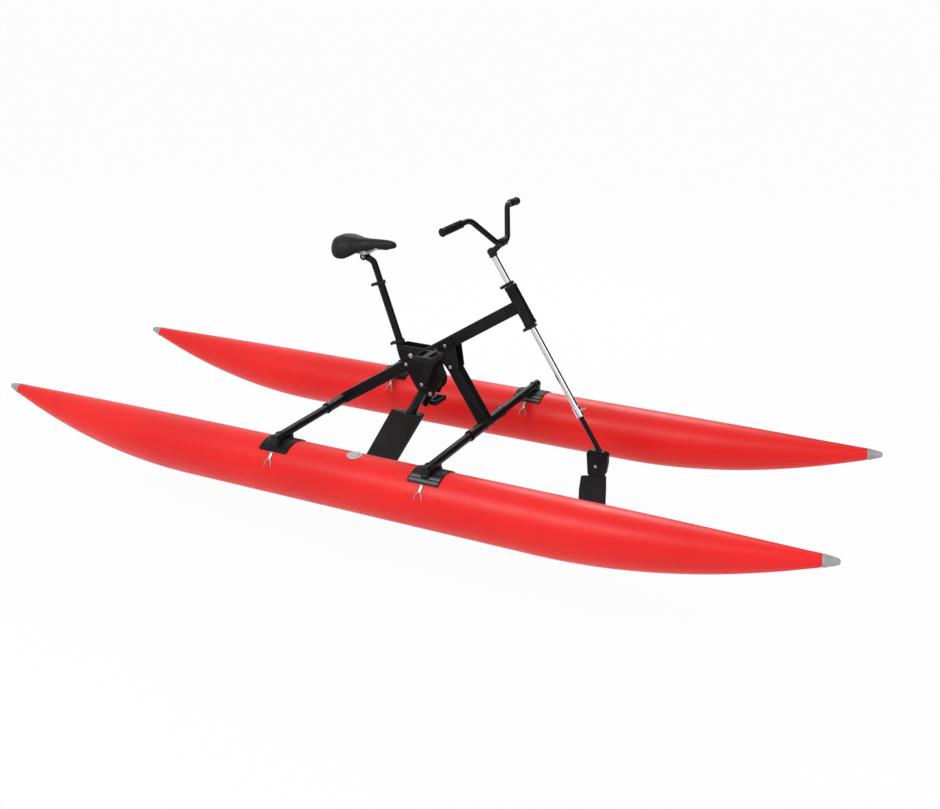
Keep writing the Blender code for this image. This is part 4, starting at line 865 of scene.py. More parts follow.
def make_pontoon():
    steps = [0.0, 0.006, 0.015, 0.03, 0.05, 0.075] + [0.1 + 0.05 * i for i in range(19)]
    stations = [-HULL_HALF + s for s in steps] + [-0.7 + 0.1 * i for i in range(15)]
    stations += [HULL_HALF - s for s in reversed(steps)]
    bpy.ops.object.select_all(action="DESELECT")
    bpy.ops.mesh.primitive_circle_add(vertices=HULL_SIDES, radius=HULL_TIP)
    piece = bpy.context.object
    edit_all(piece)
    bpy.ops.transform.translate(value=(0, HULL_TOP - HULL_TIP, stations[0]))
    radius = HULL_TIP
    for before, station in zip(stations, stations[1:]):
        bpy.ops.mesh.extrude_region_move(TRANSFORM_OT_translate={"value": (0, 0, station - before)})
        share = hull_radius(HULL_HALF - abs(station)) / radius
        bpy.ops.transform.resize(value=(share, share, 1), center_override=(0, HULL_TOP, station))
        radius *= share
    bpy.ops.mesh.select_all(action="SELECT")
    bpy.ops.mesh.fill_holes(sides=0)
    done_editing()
    for vertex in piece.data.vertices:
        from_end = HULL_HALF - abs(vertex.co.z)
        middle = Vector((0, HULL_TOP - hull_radius(from_end), vertex.co.z))
        spoke = vertex.co - middle
        angle = math.atan2(spoke.y, spoke.x)
        depth = PUCKER_DEPTH * math.exp(-from_end / PUCKER_FADE) * min(from_end / PUCKER_START, 1.0)
        vertex.co = middle + spoke * (1 + depth * math.cos(PUCKERS * angle) / spoke.length)
    return put(piece, "pontoon", facing((0, 0, 0), (1, 0, 0), (0, 1, 0)), HULL_SKIN)


print("puckers at each end:", PUCKERS)

# %% Lap seam


def make_lap_seam():
    """The welded lap along the pontoon, low on its inner side, half a millimetre proud."""
    rings = []
    for index in range(SEAM_STATIONS + 1):
        x = -HULL_HALF + SEAM_END + index * 2 * (HULL_HALF - SEAM_END) / SEAM_STATIONS
        radius = hull_radius(HULL_HALF - abs(x))
        ring = []
        for share, lift in SEAM_SECTION:
            angle = SEAM_ANGLE + SEAM_SPREAD * share
            reach = radius + lift
            ring.append((x, -reach * math.sin(angle), HULL_TOP - radius + reach * math.cos(angle)))
        rings.append(ring)
    seam = skin_over("lap_seam", rings)
    seam.data.materials.append(HULL_SKIN)
    return seam


pontoon, seam = make_pontoon(), make_lap_seam()
both = unite("pontoon_pattern", pontoon, seam)
for side_name, out in SIDES:
    inward = moved(0, HULL_Y, 0)
    place = inward if out > 0 else opposite() @ inward
    hand_over("hull_" + side_name, copy_to(both, "hull", place), smooth=50.0)
bpy.data.objects.remove(both)
print("pontoon rings:", len(STANDING_FOR["hull_port"].data.vertices) // HULL_SIDES)

# %% [markdown]
# ### End cones and valves
#
# A moulded grey cone closes each end, with a rim that the skin is strapped to. The valve is a low round cap
# with a grip rim, screwed into a flange that is welded to the skin. Both are turned from a profile, because
# they are round, and the small grip lugs are one block copied round the cap.

# %% End cones and valves
CONE_LENGTH = 0.055
CONE_NOSE = 0.013


def make_cone():
    rim = HULL_TIP + 0.0015
    nose_start = CONE_LENGTH - CONE_NOSE
    profile = [
        (rim - 0.001, 0.0), (rim, 0.001), (rim, 0.0055), (rim - 0.0008, 0.0068),
        (HULL_TIP - 0.0002, 0.0078),
    ]
    for height in (0.016, 0.026):
        width = HULL_TIP + (CONE_NOSE - HULL_TIP) * (height - 0.008) / (nose_start - 0.008)
        profile += [
            (width, height - 0.0014), (width - 0.0009, height - 0.0006),
            (width - 0.0009, height + 0.0006), (width, height + 0.0014),
        ]
    angles = [math.radians(90 - 11 * i) for i in range(8)]
    profile += [(CONE_NOSE * math.sin(a), nose_start + CONE_NOSE * math.cos(a)) for a in angles]
    profile += [(0.0012, CONE_LENGTH - 0.00005)]
    return ringed("cone", profile, Matrix(), CONE_PLASTIC, 64)


cone = make_cone()
climb = (HULL_TIP - CONE_NOSE) / CONE_LENGTH
for end_name, end in (("bow", 1), ("stern", -1)):
    for side_name, out in SIDES:
        base = (end * (HULL_HALF + SEAT_GAP), out * HULL_Y, HULL_TOP - HULL_TIP)
        hand_over(
            f"{end_name}_cone_{side_name}",
            copy_to(cone, "cone", facing(base, (end, 0, climb), (0, 1, 0))),
        )
bpy.data.objects.remove(cone)
print("cones: 4")

# %% Valves


def make_valve():
    flange = [
        (0.031, -0.0048), (0.031, 0.0012), (0.0302, 0.0020), (0.0225, 0.0026), (0.0215, 0.0022),
        (0.0208, 0.0012),
    ]
    ring = ringed("flange", flange, Matrix(), VALVE_PLASTIC, 72)
    cap = [
        (0.0200, 0.0), (0.0200, 0.0044), (0.0192, 0.0054), (0.0150, 0.0060), (0.0142, 0.0056),
        (0.0136, 0.0042), (0.004, 0.0040),
    ]
    top = ringed("cap", cap, Matrix(), VALVE_PLASTIC, 72)
    bar = block("bar", (0.026, 0.0045, 0.0030), moved(0, 0, 0.0045), VALVE_PLASTIC, 0.0008)
    lug = block("lug", (0.0022, 0.0016, 0.0040), moved(0.0202, 0, 0.0024), VALVE_PLASTIC, 0.0004, 2)
    lugs = [copy_to(lug, "lug", Matrix.Rotation(math.tau * i / 24, 4, "Z")) for i in range(24)]
    bpy.data.objects.remove(lug)
    return unite("valve", ring, top, bar, *lugs)


valve = make_valve()
for side_name, out in SIDES:
    hand_over("valve_" + side_name, copy_to(valve, "valve", moved(0, out * HULL_Y, HULL_TOP)))
bpy.data.objects.remove(valve)
print("valves: 2")

# %% [markdown]
# ## Pads and sockets
#
# A moulded rubber pad spreads each cross tube's load on the cloth. It is a shallow shell with round
# corners, and ribs run along its lower part so that the strap can't slip. On the front pads that part is a
# grey insert. The socket on top grips the tube's end. A rectangle is spun about the pontoon's axis to make
# the shell and each rib.

# %% Pads
PAD_HALF = 0.0665
PAD_ANGLE = 38.0
RIB_ANGLES = (20.5, 24.5, 28.5, 32.5)
RIB_HALF_ANGLE = 1.1
PAD_TOP = HULL_RADIUS + PAD_THICKNESS


def band(name, half_length, inner, outer, start, end, finish, steps=24, corner=0.0, edge=0.0008):
    """Part of a shell about the X axis; angles are degrees from straight up towards +Y."""
    bpy.ops.object.select_all(action="DESELECT")
    bpy.ops.mesh.primitive_plane_add(size=1)
    piece = bpy.context.object
    edit_all(piece)
    bpy.ops.transform.resize(value=(2 * half_length, outer - inner, 1))
    bpy.ops.transform.rotate(value=math.pi / 2, orient_axis="X", center_override=(0, 0, 0))
    bpy.ops.transform.translate(value=(0, 0, (inner + outer) / 2))
    bpy.ops.mesh.spin(steps=steps, angle=math.radians(end - start), center=(0, 0, 0), axis=(1, 0, 0))
    done_editing()
    piece.data.transform(Matrix.Rotation(-math.radians(start), 4, "X"))
    if corner:
        round_corners(piece, half_length, start, end, corner)
    if edge:
        bevel_edges(piece, edge, 2, 40.0)
    return put(piece, name, Matrix(), finish)


def round_corners(piece, half_length, start, end, radius):
    """Rounds the shell's four corners, seen from above the shell."""
    activate(piece)
    bpy.ops.object.mode_set(mode="EDIT")
    bpy.ops.mesh.select_all(action="DESELECT")
    shape = bmesh.from_edit_mesh(piece.data)
    bpy.ops.mesh.select_mode(type="EDGE")
    for edge in shape.edges:
        ends = []
        for vertex in edge.verts:
            angle = math.degrees(math.atan2(vertex.co.y, vertex.co.z))
            at_side = min(abs(angle - start), abs(angle - end)) < 0.1
            ends.append(at_side and abs(abs(vertex.co.x) - half_length) < 1e-5)
        edge.select = all(ends) and abs(edge.verts[0].co.x - edge.verts[1].co.x) < 1e-6
    bmesh.update_edit_mesh(piece.data)
    bpy.ops.mesh.bevel(offset=radius, segments=5, affect="EDGES")
    done_editing()


def make_pad(rib_finish):
    """One pad lying on a pontoon whose axis is the X axis."""
    parts = [band(
        "shell", PAD_HALF, HULL_RADIUS - 0.001, PAD_TOP, -PAD_ANGLE, PAD_ANGLE, PAD_RUBBER, 32, 0.010,
    )]
    for sign in (-1, 1):
        edges = sorted((sign * 17.5, sign * 36.5))
        parts.append(band(
            "insert", PAD_HALF - 0.004, PAD_TOP - 0.001, PAD_TOP + 0.0004, *edges, rib_finish, 10, 0.005,
            0.0,
        ))
        for middle in RIB_ANGLES:
            spot = sorted((sign * (middle - RIB_HALF_ANGLE), sign * (middle + RIB_HALF_ANGLE)))
            parts.append(band(
                "rib", PAD_HALF - 0.007, PAD_TOP - 0.0005, PAD_TOP + 0.0016, *spot, rib_finish, 2, 0.0,
                0.0005,
            ))
    lip = [band(
        "lip", 0.0016, PAD_TOP - 0.001, PAD_TOP + 0.0007, -PAD_ANGLE + 4, PAD_ANGLE - 4, PAD_RUBBER, 24,
        0.0, 0.0004,
    )]
    for x in (-1, 1):
        parts.append(copy_to(lip[0], "lip", moved(x * (PAD_HALF - 0.003), 0, 0)))
    bpy.data.objects.remove(lip[0])
    return unite("pad", *parts)


print("radius over a pad:", round(PAD_TOP, 4))

# %% Sockets
SOCKET_WALL = 0.0035
SOCKET_SLOPE = -0.5
SOCKET_TOP = TUBE_Z + TUBE_RADIUS + SOCKET_WALL
SOCKET_OUT = TUBE_HALF - HULL_Y + SOCKET_WALL


def make_socket():
    """The block that grips the tube's end, its foot and its screw, for a pontoon at y = 0, port side out."""
    low = HULL_TOP - 0.016
    slope = Matrix.Identity(4)
    slope[2][1] = SOCKET_SLOPE
    middle = moved(0, SOCKET_OUT - 0.023, (SOCKET_TOP + low) / 2 - 0.010) @ slope
    grip = block("grip", (0.038, 0.046, SOCKET_TOP - low), middle, PAD_RUBBER, 0.010, 5)
    foot = block("foot", (0.052, 0.074, 0.018), moved(0, -0.010, HULL_TOP - 0.0025), PAD_RUBBER, 0.005, 4)
    cradle = block("cradle", (0.036, 0.062, 0.030), moved(0, -0.026, TUBE_Z - 0.016), PAD_RUBBER, 0.006, 4)
    parts = [grip, foot, cradle]
    for x in (-0.0165, 0.0165):
        rib = block("rib", (0.003, 0.060, 0.020), moved(x, -0.004, HULL_TOP + 0.006), PAD_RUBBER, 0.0012, 2)
        parts.append(rib)
    seam_ring = circle(TUBE_RADIUS + 0.0012, 40)
    ring_place = facing((0, SOCKET_OUT - 0.0455, TUBE_Z), (0, 1, 0))
    parts.append(wire(
        "mouth", [(x, y, 0) for x, y in seam_ring], 0.0016, PAD_RUBBER, ring_place, 4, closed=True,
    ))
    parts.append(screw_at("grip_screw", facing((0, SOCKET_OUT - SEAT_GAP, TUBE_Z - 0.014), (0, 1, 0)), 0.7))
    return unite("socket", *parts)


socket = make_socket()
patterns = {"front": make_pad(RIB_RUBBER), "rear": make_pad(PAD_RUBBER)}
for end_name, x in ENDS:
    for side_name, out in SIDES:
        place = moved(x, out * HULL_Y, 0)
        turn = place if out > 0 else place @ opposite()
        shell = copy_to(patterns[end_name], "pad", place @ moved(0, 0, HULL_TOP - HULL_RADIUS))
        hand_over(f"saddle_pad_{end_name}_{side_name}", shell, copy_to(socket, "socket", turn), smooth=40.0)
for pattern in (socket, *patterns.values()):
    bpy.data.objects.remove(pattern)
print("pads: 4, each with", len(STANDING_FOR["saddle_pad_front_port"].data.polygons), "faces")

# %% [markdown]
# ### Strap clips
#
# A bright clip hangs from each pad edge: a pressed tongue on a hinge barrel, with a bent wire fork that
# hooks the strap. The tongue is a narrow band of the same shell, and the fork is one wire whose ends curl
# outwards.

# %% Clips
CLIP_REACH = HULL_RADIUS + 0.0025
CLIP_START = math.radians(PAD_ANGLE) + 0.0045 / CLIP_REACH


def make_clip():
    """One clip on the +Y side of a pontoon whose axis is the X axis."""

    def at(degrees, along, lift=0.0):
        angle = CLIP_START + math.radians(degrees)
        reach = CLIP_REACH + lift
        return Vector((along, reach * math.sin(angle), reach * math.cos(angle)))

    start = math.degrees(CLIP_START)
    tongue = band(
        "tongue", 0.0055, CLIP_REACH - 0.001, CLIP_REACH + 0.001, start, start + 14.0, STEEL, 8, 0.003,
        0.0004,
    )
    stamped = band(
        "stamped", 0.0025, CLIP_REACH, CLIP_REACH + 0.0016, start + 3.5, start + 10.5, STEEL, 5, 0.0,
        0.0006,
    )
    barrel_place = facing(at(0, 0), (1, 0, 0))
    barrel = rod("barrel", 0.0026, -0.0075, 0.0075, barrel_place, STEEL, 24, edge=0.0004)
    pin = rod("pin", 0.0013, -0.0086, 0.0086, barrel_place, STEEL, 16, edge=0.0003)
    half = [at(28.0, 0.0164), at(26.0, 0.0156), at(19.0, 0.0122), at(14.2, 0.0048)]
    path = half + [Vector((-p.x, p.y, p.z)) for p in reversed(half)]
    fork = wire("fork", fillet(path, 0.007, 6, closed=False), 0.0018, STEEL, round_steps=4)
    tips = [
        ringed(
            "tip", [(0.0018, -0.0004), (0.0019, 0.0004), (0.0014, 0.0014)],
            facing(p, p - at(26.0, side * 0.0156)), STEEL, 16,
        )
        for side, p in ((1, at(28.0, 0.0164)), (-1, at(28.0, -0.0164)))
    ]
    return unite("clip", tongue, stamped, barrel, pin, fork, *tips)


clip = make_clip()
for end_name, x in ENDS:
    for side_name, out in SIDES:
        for which, lean in (("outer", out), ("inner", -out)):
            place = moved(x, out * HULL_Y, HULL_TOP - HULL_RADIUS)
            turn = place if lean > 0 else place @ opposite()
            hand_over(f"clip_{end_name}_{side_name}_{which}", copy_to(clip, "clip", turn))
bpy.data.objects.remove(clip)
print("clips: 8")

# %% [markdown]
# ## Cross tubes and welded frame
#
# Two round tubes join the pontoons. Each slides through a sleeve in the frame's middle, held by a spring
# button, so the craft comes apart for the car. The frame is one square beam with the head tube mitred to
# its upper end and the seat socket let through it; the square down tube bolts up between the side plates. A
# painted weld runs round each joint, and it is the welds that tell the eye that these boxes are metal.

# %% Cross tubes
WELD_PROUD = 0.0006
BUTTON_Y = SLEEVE_HALF - 0.022


def make_cross_tube():
    edge = 0.0012
    profile = [
        (TUBE_RADIUS - edge, -TUBE_HALF), (TUBE_RADIUS, edge - TUBE_HALF),
        (TUBE_RADIUS, TUBE_HALF - edge), (TUBE_RADIUS - edge, TUBE_HALF),
    ]
    tube = ringed("tube", profile, facing((0, 0, 0), (0, 1, 0)), PAINT, 64)
    cap_profile = [
        (TUBE_RADIUS, 0.0), (TUBE_RADIUS, 0.0022), (0.015, 0.0042), (0.010, 0.0052), (0.004, 0.0055),
    ]
    parts = [tube]
    for sign in (-1, 1):
        spot = facing((0, sign * (TUBE_HALF + 0.0012), 0), (0, sign, 0))
        parts.append(ringed("end_cap", cap_profile, spot, MOULDED, 48))
    return unite("cross_tube", *parts)


tube = make_cross_tube()
for end_name, x in ENDS:
    hand_over("cross_tube_" + end_name, copy_to(tube, "tube", moved(x, 0, TUBE_Z)))
bpy.data.objects.remove(tube)
print("pieces so far:", len(STANDING_FOR))

# %% Sleeves


def make_sleeve(centre):
    """The sleeve across the frame, with a thicker ring at each end and a bright spring button."""
    lip, ring = 0.0014, 0.010
    half = SLEEVE_HALF
    profile = [
        (TUBE_RADIUS + SEAT_GAP, -half),
        (SLEEVE_RADIUS + lip - 0.0006, -half),
        (SLEEVE_RADIUS + lip, 0.0006 - half),
        (SLEEVE_RADIUS + lip, ring - half),
        (SLEEVE_RADIUS, ring + lip - half),
        (SLEEVE_RADIUS, half - ring - lip),
        (SLEEVE_RADIUS + lip, half - ring),
        (SLEEVE_RADIUS + lip, half - 0.0006),
        (SLEEVE_RADIUS + lip - 0.0006, half),
        (TUBE_RADIUS + SEAT_GAP, half),
    ]
    sleeve = ringed("sleeve", profile, facing(centre, (0, 1, 0)), PAINT, 64)
    dome = [(0.0042, -0.002), (0.0042, 0.0010), (0.0036, 0.0024), (0.0020, 0.0032), (0.0008, 0.0034)]
    parts = [sleeve]
    for sign in (-1, 1):
        spot = facing(Vector(centre) + Vector((0, sign * BUTTON_Y, SLEEVE_RADIUS)), (0, 0, 1))
        parts.append(ringed("button", dome, spot, STEEL, 32))
    return parts


def sleeve_welds(centre):
    """Rings of weld where the sleeve leaves the square tube's two sides."""
    ring = [(x, y, 0) for x, y in circle(SLEEVE_RADIUS + WELD_PROUD, 40)]
    beads = []
    for sign in (-1, 1):
        bead = weld("weld", ring)
        bead.data.transform(facing(
            Vector(centre) + Vector((0, sign * (BEAM_SIZE / 2 + WELD_PROUD), 0)), (0, 1, 0),
        ))
        beads.append(bead)
    return beads


print("spring buttons at y:", BUTTON_Y)

# %% [markdown]
# ### Main frame and down tube
#
# The beam is a square tube with the head tube across its upper end, and both are bored for what slides in
# them. It could be one lofted mesh, but blocks and turned tubes with real bores keep their corners crisp,
# and the painted weld beads cover their meeting lines, as on the real thing.

# %% Main frame
HEAD_TUBE_RADIUS = 0.025
HEAD_TUBE_HALF = 0.084
COLLAR_HALF = 0.007
SOCKET_RADIUS = 0.0196
HEAD_BORE = 0.0161
MAST_BORE = 0.0162


def make_main_frame():
    middle = REAR_TUBE + BEAM_AHEAD * BEAM_LENGTH / 2
    size = (BEAM_LENGTH - 0.012, BEAM_SIZE, BEAM_SIZE)
    beam = block("beam", size, facing(middle, STEER_UP, BEAM_AHEAD), PAINT, 0.005, 5)
    half, flare = HEAD_TUBE_HALF, 0.0012
    head_profile = [
        (HEAD_TUBE_RADIUS + flare - 0.0008, -half),
        (HEAD_TUBE_RADIUS + flare, 0.0008 - half),
        (HEAD_TUBE_RADIUS + flare, 0.010 - half),
        (HEAD_TUBE_RADIUS, 0.012 - half),
        (HEAD_TUBE_RADIUS, half - 0.012),
        (HEAD_TUBE_RADIUS + flare, half - 0.010),
        (HEAD_TUBE_RADIUS + flare, half - 0.0008),
        (HEAD_TUBE_RADIUS + flare - 0.0008, half),
    ]
    head_tube = ringed("head_tube", head_profile, facing(HEAD, STEER_UP), PAINT, 72)
    top = -COLLAR_HALF - SEAT_GAP
    socket_profile = [
        (SOCKET_RADIUS, -0.125), (SOCKET_RADIUS, top - 0.008), (SOCKET_RADIUS + 0.001, top - 0.007),
        (SOCKET_RADIUS + 0.001, top),
    ]
    socket = ringed("seat_socket", socket_profile, facing(MAST, MAST_UP), PAINT, 64, edge=0.0004)
    for solid in (beam, head_tube):
        cut_away(solid, rod("bore", HEAD_BORE, -0.2, 0.2, facing(HEAD, STEER_UP), PAINT, 48))
    for solid in (beam, socket):
        cut_away(solid, rod("bore", MAST_BORE, -0.2, 0.1, facing(MAST, MAST_UP), PAINT, 48))
    return [beam, head_tube, socket, *make_sleeve(REAR_TUBE), *frame_welds(), *sleeve_welds(REAR_TUBE)]


def frame_welds():
    """The mitre round the head tube, and the ring where the seat socket meets the beam's top."""
    half = BEAM_SIZE / 2
    angles = [math.radians(90 + 12 * i) for i in range(16)]
    top = [
        HEAD + STEER_UP * half + BEAM_AHEAD * HEAD_TUBE_RADIUS * math.cos(a) + Vector((
            0, HEAD_TUBE_RADIUS * math.sin(a), 0,
        ))
        for a in angles
    ]
    bottom = [p - STEER_UP * BEAM_SIZE for p in reversed(top)]
    head_bead = weld("head_weld", top + bottom, 0.0019)
    beam_point = REAR_TUBE + BEAM_AHEAD * ((MAST.x - REAR_X) / math.cos(BEAM_SLOPE))
    rise = (half - (MAST - beam_point).dot(STEER_UP)) / MAST_UP.dot(STEER_UP)
    ring = []
    for x, y in circle(SOCKET_RADIUS + WELD_PROUD, 36):
        ahead = MAST_UP.cross(Vector((0, -1, 0))) * x
        lift = -ahead.dot(STEER_UP) / MAST_UP.dot(STEER_UP)
        ring.append(MAST + MAST_UP * (rise + lift) + ahead + Vector((0, y, 0)))
    return [head_bead, weld("socket_weld", ring)]


DOWN_TUBE_LENGTH = (FRONT_X - REAR_X) * math.sin(BEAM_SLOPE) - BEAM_SIZE / 2 - SEAT_GAP
print("down tube to be cut to:", round(DOWN_TUBE_LENGTH, 3))

# %% Down tube


def make_down_tube():
    place = facing(FRONT_TUBE + STEER_UP * DOWN_TUBE_LENGTH / 2, STEER_UP)
    tube = block("down_tube", (BEAM_SIZE, BEAM_SIZE, DOWN_TUBE_LENGTH), place, PAINT, 0.005, 5)
    return [tube, *make_sleeve(FRONT_TUBE), *sleeve_welds(FRONT_TUBE)]


hand_over("main_frame", *make_main_frame())
hand_over("down_tube", *make_down_tube())
print("beam length:", round(BEAM_LENGTH, 3), "down tube:", round(DOWN_TUBE_LENGTH, 3))

# %% [markdown]
# ### Side plates
#
# Two laser-cut plates clamp the beam, the down tube and the crank bearing together. Their outline follows
# the seat socket at the back and comes down to a point under the crank. The port plate is cut back further
# behind the down tube, so daylight shows through beside the bearing cover. Screws of two sizes hold the
# plates, and each screw sits on its own washer.

# %% Side plates
PLATE_THICKNESS = 0.005
PLATE_OUT = BEAM_SIZE / 2 + 0.0003 + PLATE_THICKNESS
PLATE_OUTLINE = [
    (-0.0635, 0.5405),
    (-0.0397, 0.5488),
    (0.0735, 0.5475),
    (0.1870, 0.6190),
    (0.2135, 0.5770),
    (0.2265, 0.4840),
    (0.1890, 0.4600),
    (0.1500, 0.5100),
    (0.1710, 0.4490),
    (0.1250, 0.3830),
    (0.1120, 0.3430),
    (0.0850, 0.3430),
    (0.0347, 0.3629),
    (-0.0056, 0.4252),
    (-0.0480, 0.4900),
]
NOTCH_CORNER, NOTCH_EDGE = 7, 8
PORT_NOTCH = [(0.1500, 0.5100), (0.1080, 0.4870), (0.1200, 0.4550), (0.1300, 0.4200)]
PLATE_SCREWS = [
    (0.0060, 0.5090, 1.35),
    (-0.0175, 0.4666, 1.0),
    (0.1660, 0.5750, 1.0),
    (0.1230, 0.5480, 1.0),
    (0.1410, 0.5305, 0.7),
    (0.1910, 0.4880, 1.0),
]
BOSS_RADIUS = 0.021
BOSS_FACE = 0.058
STOP_PLACE = (0.097, 0.3545)


def upright(y):
    """A place that stands a flat outline up: its X is +X and its Y is +Z."""
    return facing((0, y, 0), (0, -1, 0), (1, 0, 0))


def make_side_plate(out):
    corners = list(PLATE_OUTLINE)
    if out > 0:
        corners[NOTCH_CORNER : NOTCH_EDGE + 1] = PORT_NOTCH
    outline = fillet(corners, 0.007, 5)
    sheet = plate("sheet", outline, PLATE_THICKNESS, upright(out * (PLATE_OUT - PLATE_THICKNESS / 2)), PAINT)
    boss_profile = [
        (BOSS_RADIUS + 0.003, PLATE_OUT - 0.001),
        (BOSS_RADIUS + 0.0006, PLATE_OUT + 0.0024),
        (BOSS_RADIUS, PLATE_OUT + 0.005),
        (BOSS_RADIUS, BOSS_FACE - 0.0015),
        (BOSS_RADIUS - 0.0015, BOSS_FACE),
        (0.0128, BOSS_FACE),
        (0.0122, BOSS_FACE - 0.0008),
    ]
    boss = ringed("boss", boss_profile, facing(DRIVE, (0, out, 0)), PAINT, 64)
    screws = []
    for x, z, size in PLATE_SCREWS:
        spot = facing((x, out * (PLATE_OUT + 0.0006 * size), z), (0, out, 0))
        screws.append(screw_at("plate_screw", spot, size))
    return [sheet, boss, *screws]


print("points of the plate's outline:", len(PLATE_OUTLINE))

# %% Stop bolt and bearing cover


def make_stop_bolt():
    """A hexagon-headed bolt across the plates, with a washer under its head and under its nut."""
    axis = facing((STOP_PLACE[0], 0, STOP_PLACE[1]), (0, 1, 0))
    parts = [rod("shank", 0.005, -PLATE_OUT - 0.006, PLATE_OUT + 0.0058, axis, STEEL, 32, edge=0.0006)]
    for sign in (-1, 1):
        face = facing((STOP_PLACE[0], sign * PLATE_OUT, STOP_PLACE[1]), (0, sign, 0))
        parts.append(ringed(
            "washer", [(0.0095, 0.0002), (0.0095, 0.0011), (0.0091, 0.0014)], face, STEEL, 40,
        ))
        parts.append(rod("hexagon", 0.0082, 0.0013, 0.0046, face, STEEL, 6, edge=0.0006))
    return parts


def make_bearing_cover():
    base = PLATE_OUT + SEAT_GAP
    hole, rim = BOSS_RADIUS + 0.0005, 0.0575
    profile = [
        (hole, base),
        (hole, base + 0.0040),
        (0.030, base + 0.0042),
        (0.036, base + 0.0056),
        (0.042, base + 0.0086),
        (0.046, base + 0.0100),
        (rim - 0.0030, base + 0.0102),
        (rim - 0.0008, base + 0.0098),
        (rim, base + 0.0088),
        (rim, base + 0.0068),
        (0.047, base + 0.0066),
        (0.034, base),
    ]
    cover = ringed("cover", profile, facing(DRIVE, (0, 1, 0)), MOULDED, 80, hollow=True)
    # The thin light-grey ring on the dark cover's rim is a painted highlight: it stands for light caught on
    # the rim's rounded edge.
    highlight_circle = [(x, y, 0) for x, y in circle(rim - 0.0016, 72)]
    painted_highlight_rim = wire(
        "rim", highlight_circle, 0.0009, CONE_PLASTIC, facing((DRIVE.x, base + 0.0098, DRIVE.z), (0, 1, 0)), 3,
        closed=True,
    )
    return [cover, painted_highlight_rim]


for side_name, out in SIDES:
    hand_over("gusset_" + side_name, *make_side_plate(out))
hand_over("stop_bolt", *make_stop_bolt())
hand_over("drive_cover", *make_bearing_cover())
print("plate screws:", 2 * len(PLATE_SCREWS))

# %% [markdown]
# ### Clamp collars and cam levers
#
# Four quick-release collars set the seat and the steering. Each is a split ring with two ears, a cross bolt
# with a barrel nut, and a curved cam lever that wraps the ring. The lever is forged: oval in section, and
# thicker at its cam and at its thumb end, so a wire with a changing radius suits it better than a cut
# plate.

# %% Collars
COLLAR_WALL = 0.0055
COLLAR_EAR = 0.020
COLUMN_RADIUS = 0.0125
MAST_RADIUS = 0.0159
MAST_TOP = 0.2573
LEVER_LENGTH = 0.060
EAR_BOLT = 0.009
BUSH_FLANGE = 0.0025
BUSH_DEPTH = 0.022
COLLAR_OFFSET = HEAD_TUBE_HALF + BUSH_FLANGE + 3 * SEAT_GAP + COLLAR_HALF


def make_collar(bore, place):
    inner, outer, half = bore + SEAT_GAP, bore + COLLAR_WALL, COLLAR_HALF
    profile = [
        (inner, half),
        (outer - 0.0012, half),
        (outer, half - 0.0012),
        (outer, 0.0020),
        (outer - 0.0006, 0.0014),
        (outer - 0.0006, -0.0014),
        (outer, -0.0020),
        (outer, 0.0012 - half),
        (outer - 0.0012, -half),
        (inner, -half),
    ]
    parts = [ringed("ring", profile, place, PAINT, 64, hollow=True)]
    length = COLLAR_EAR + COLLAR_WALL - 0.001
    middle = -(inner + 0.001 + length / 2)
    for sign in (-1, 1):
        spot = place @ moved(middle, sign * 0.005, 0)
        parts.append(block("ear", (length, 0.008, 2 * half - 0.001), spot, PAINT, 0.0018, 4))
    bolt_x = -(outer + COLLAR_EAR - EAR_BOLT)
    across = place @ facing((bolt_x, 0, 0), (0, 1, 0))
    parts.append(rod("cross_bolt", 0.0026, -0.0155, 0.0120, across, STEEL, 24))
    nut = [(0.0052, 0.0091), (0.0056, 0.0096), (0.0056, 0.0128), (0.0046, 0.0140), (0.0020, 0.0142)]
    parts.append(ringed("barrel_nut", nut, across, STEEL, 32))
    return parts


print("height of a collar:", 2 * COLLAR_HALF)

# %% Cam levers


def make_cam_lever(bore, place):
    """The lever lies round the collar's starboard side; its cam presses on the ear."""
    pivot = Vector((-(bore + COLLAR_WALL + COLLAR_EAR - EAR_BOLT), -0.0158, 0))
    side = -(bore + COLLAR_WALL + 0.0012)
    reach = pivot.x + LEVER_LENGTH
    spots = [
        (0.0, 0.0),
        (-0.0105 - pivot.x, side - 0.0022 - pivot.y),
        (0.009 - pivot.x, side - 0.0022 - pivot.y),
        (reach - pivot.x - 0.002, side + 0.0038 - pivot.y),
    ]
    arm = fillet([(x, y, 0) for x, y in spots], 0.020, 6, closed=False)
    swell = [1.25 - 0.35 * math.sin(math.pi * i / (len(arm) - 1)) for i in range(len(arm))]
    lever_place = place @ Matrix.Translation(pivot)
    blade = wire("lever", arm, 0.0024, MOULDED, lever_place @ Matrix.Scale(1.7, 4, (0, 0, 1)), 6, swell)
    cam = rod("cam", 0.0064, -0.0050, 0.0050, lever_place, MOULDED, 32, edge=0.0010)
    pin = rod("pin", 0.0024, -0.0060, 0.0060, lever_place, STEEL, 20, edge=0.0004)
    thumb_place = lever_place @ moved(*spots[-1], 0)
    thumb = rod("thumb", 0.0032, -0.0046, 0.0046, thumb_place, MOULDED, 24, edge=0.0012)
    return [blade, cam, pin, thumb]


COLLARS = {
    "seat_{}_lower": (MAST_RADIUS, facing(MAST, MAST_UP)),
    "seat_{}_upper": (MAST_RADIUS, facing(along_mast(MAST_TOP), MAST_UP)),
    "steering_{}_upper": (COLUMN_RADIUS, facing(along_steer(COLLAR_OFFSET), STEER_UP)),
    "steering_{}_lower": (COLUMN_RADIUS, facing(along_steer(-COLLAR_OFFSET), STEER_UP)),
}
for pattern, (bore, place) in COLLARS.items():
    hand_over(pattern.format("collar"), *make_collar(bore, place))
    hand_over(pattern.format("lever"), *make_cam_lever(bore, place))
print("collars with a lever:", len(COLLARS))

# %% Bushes


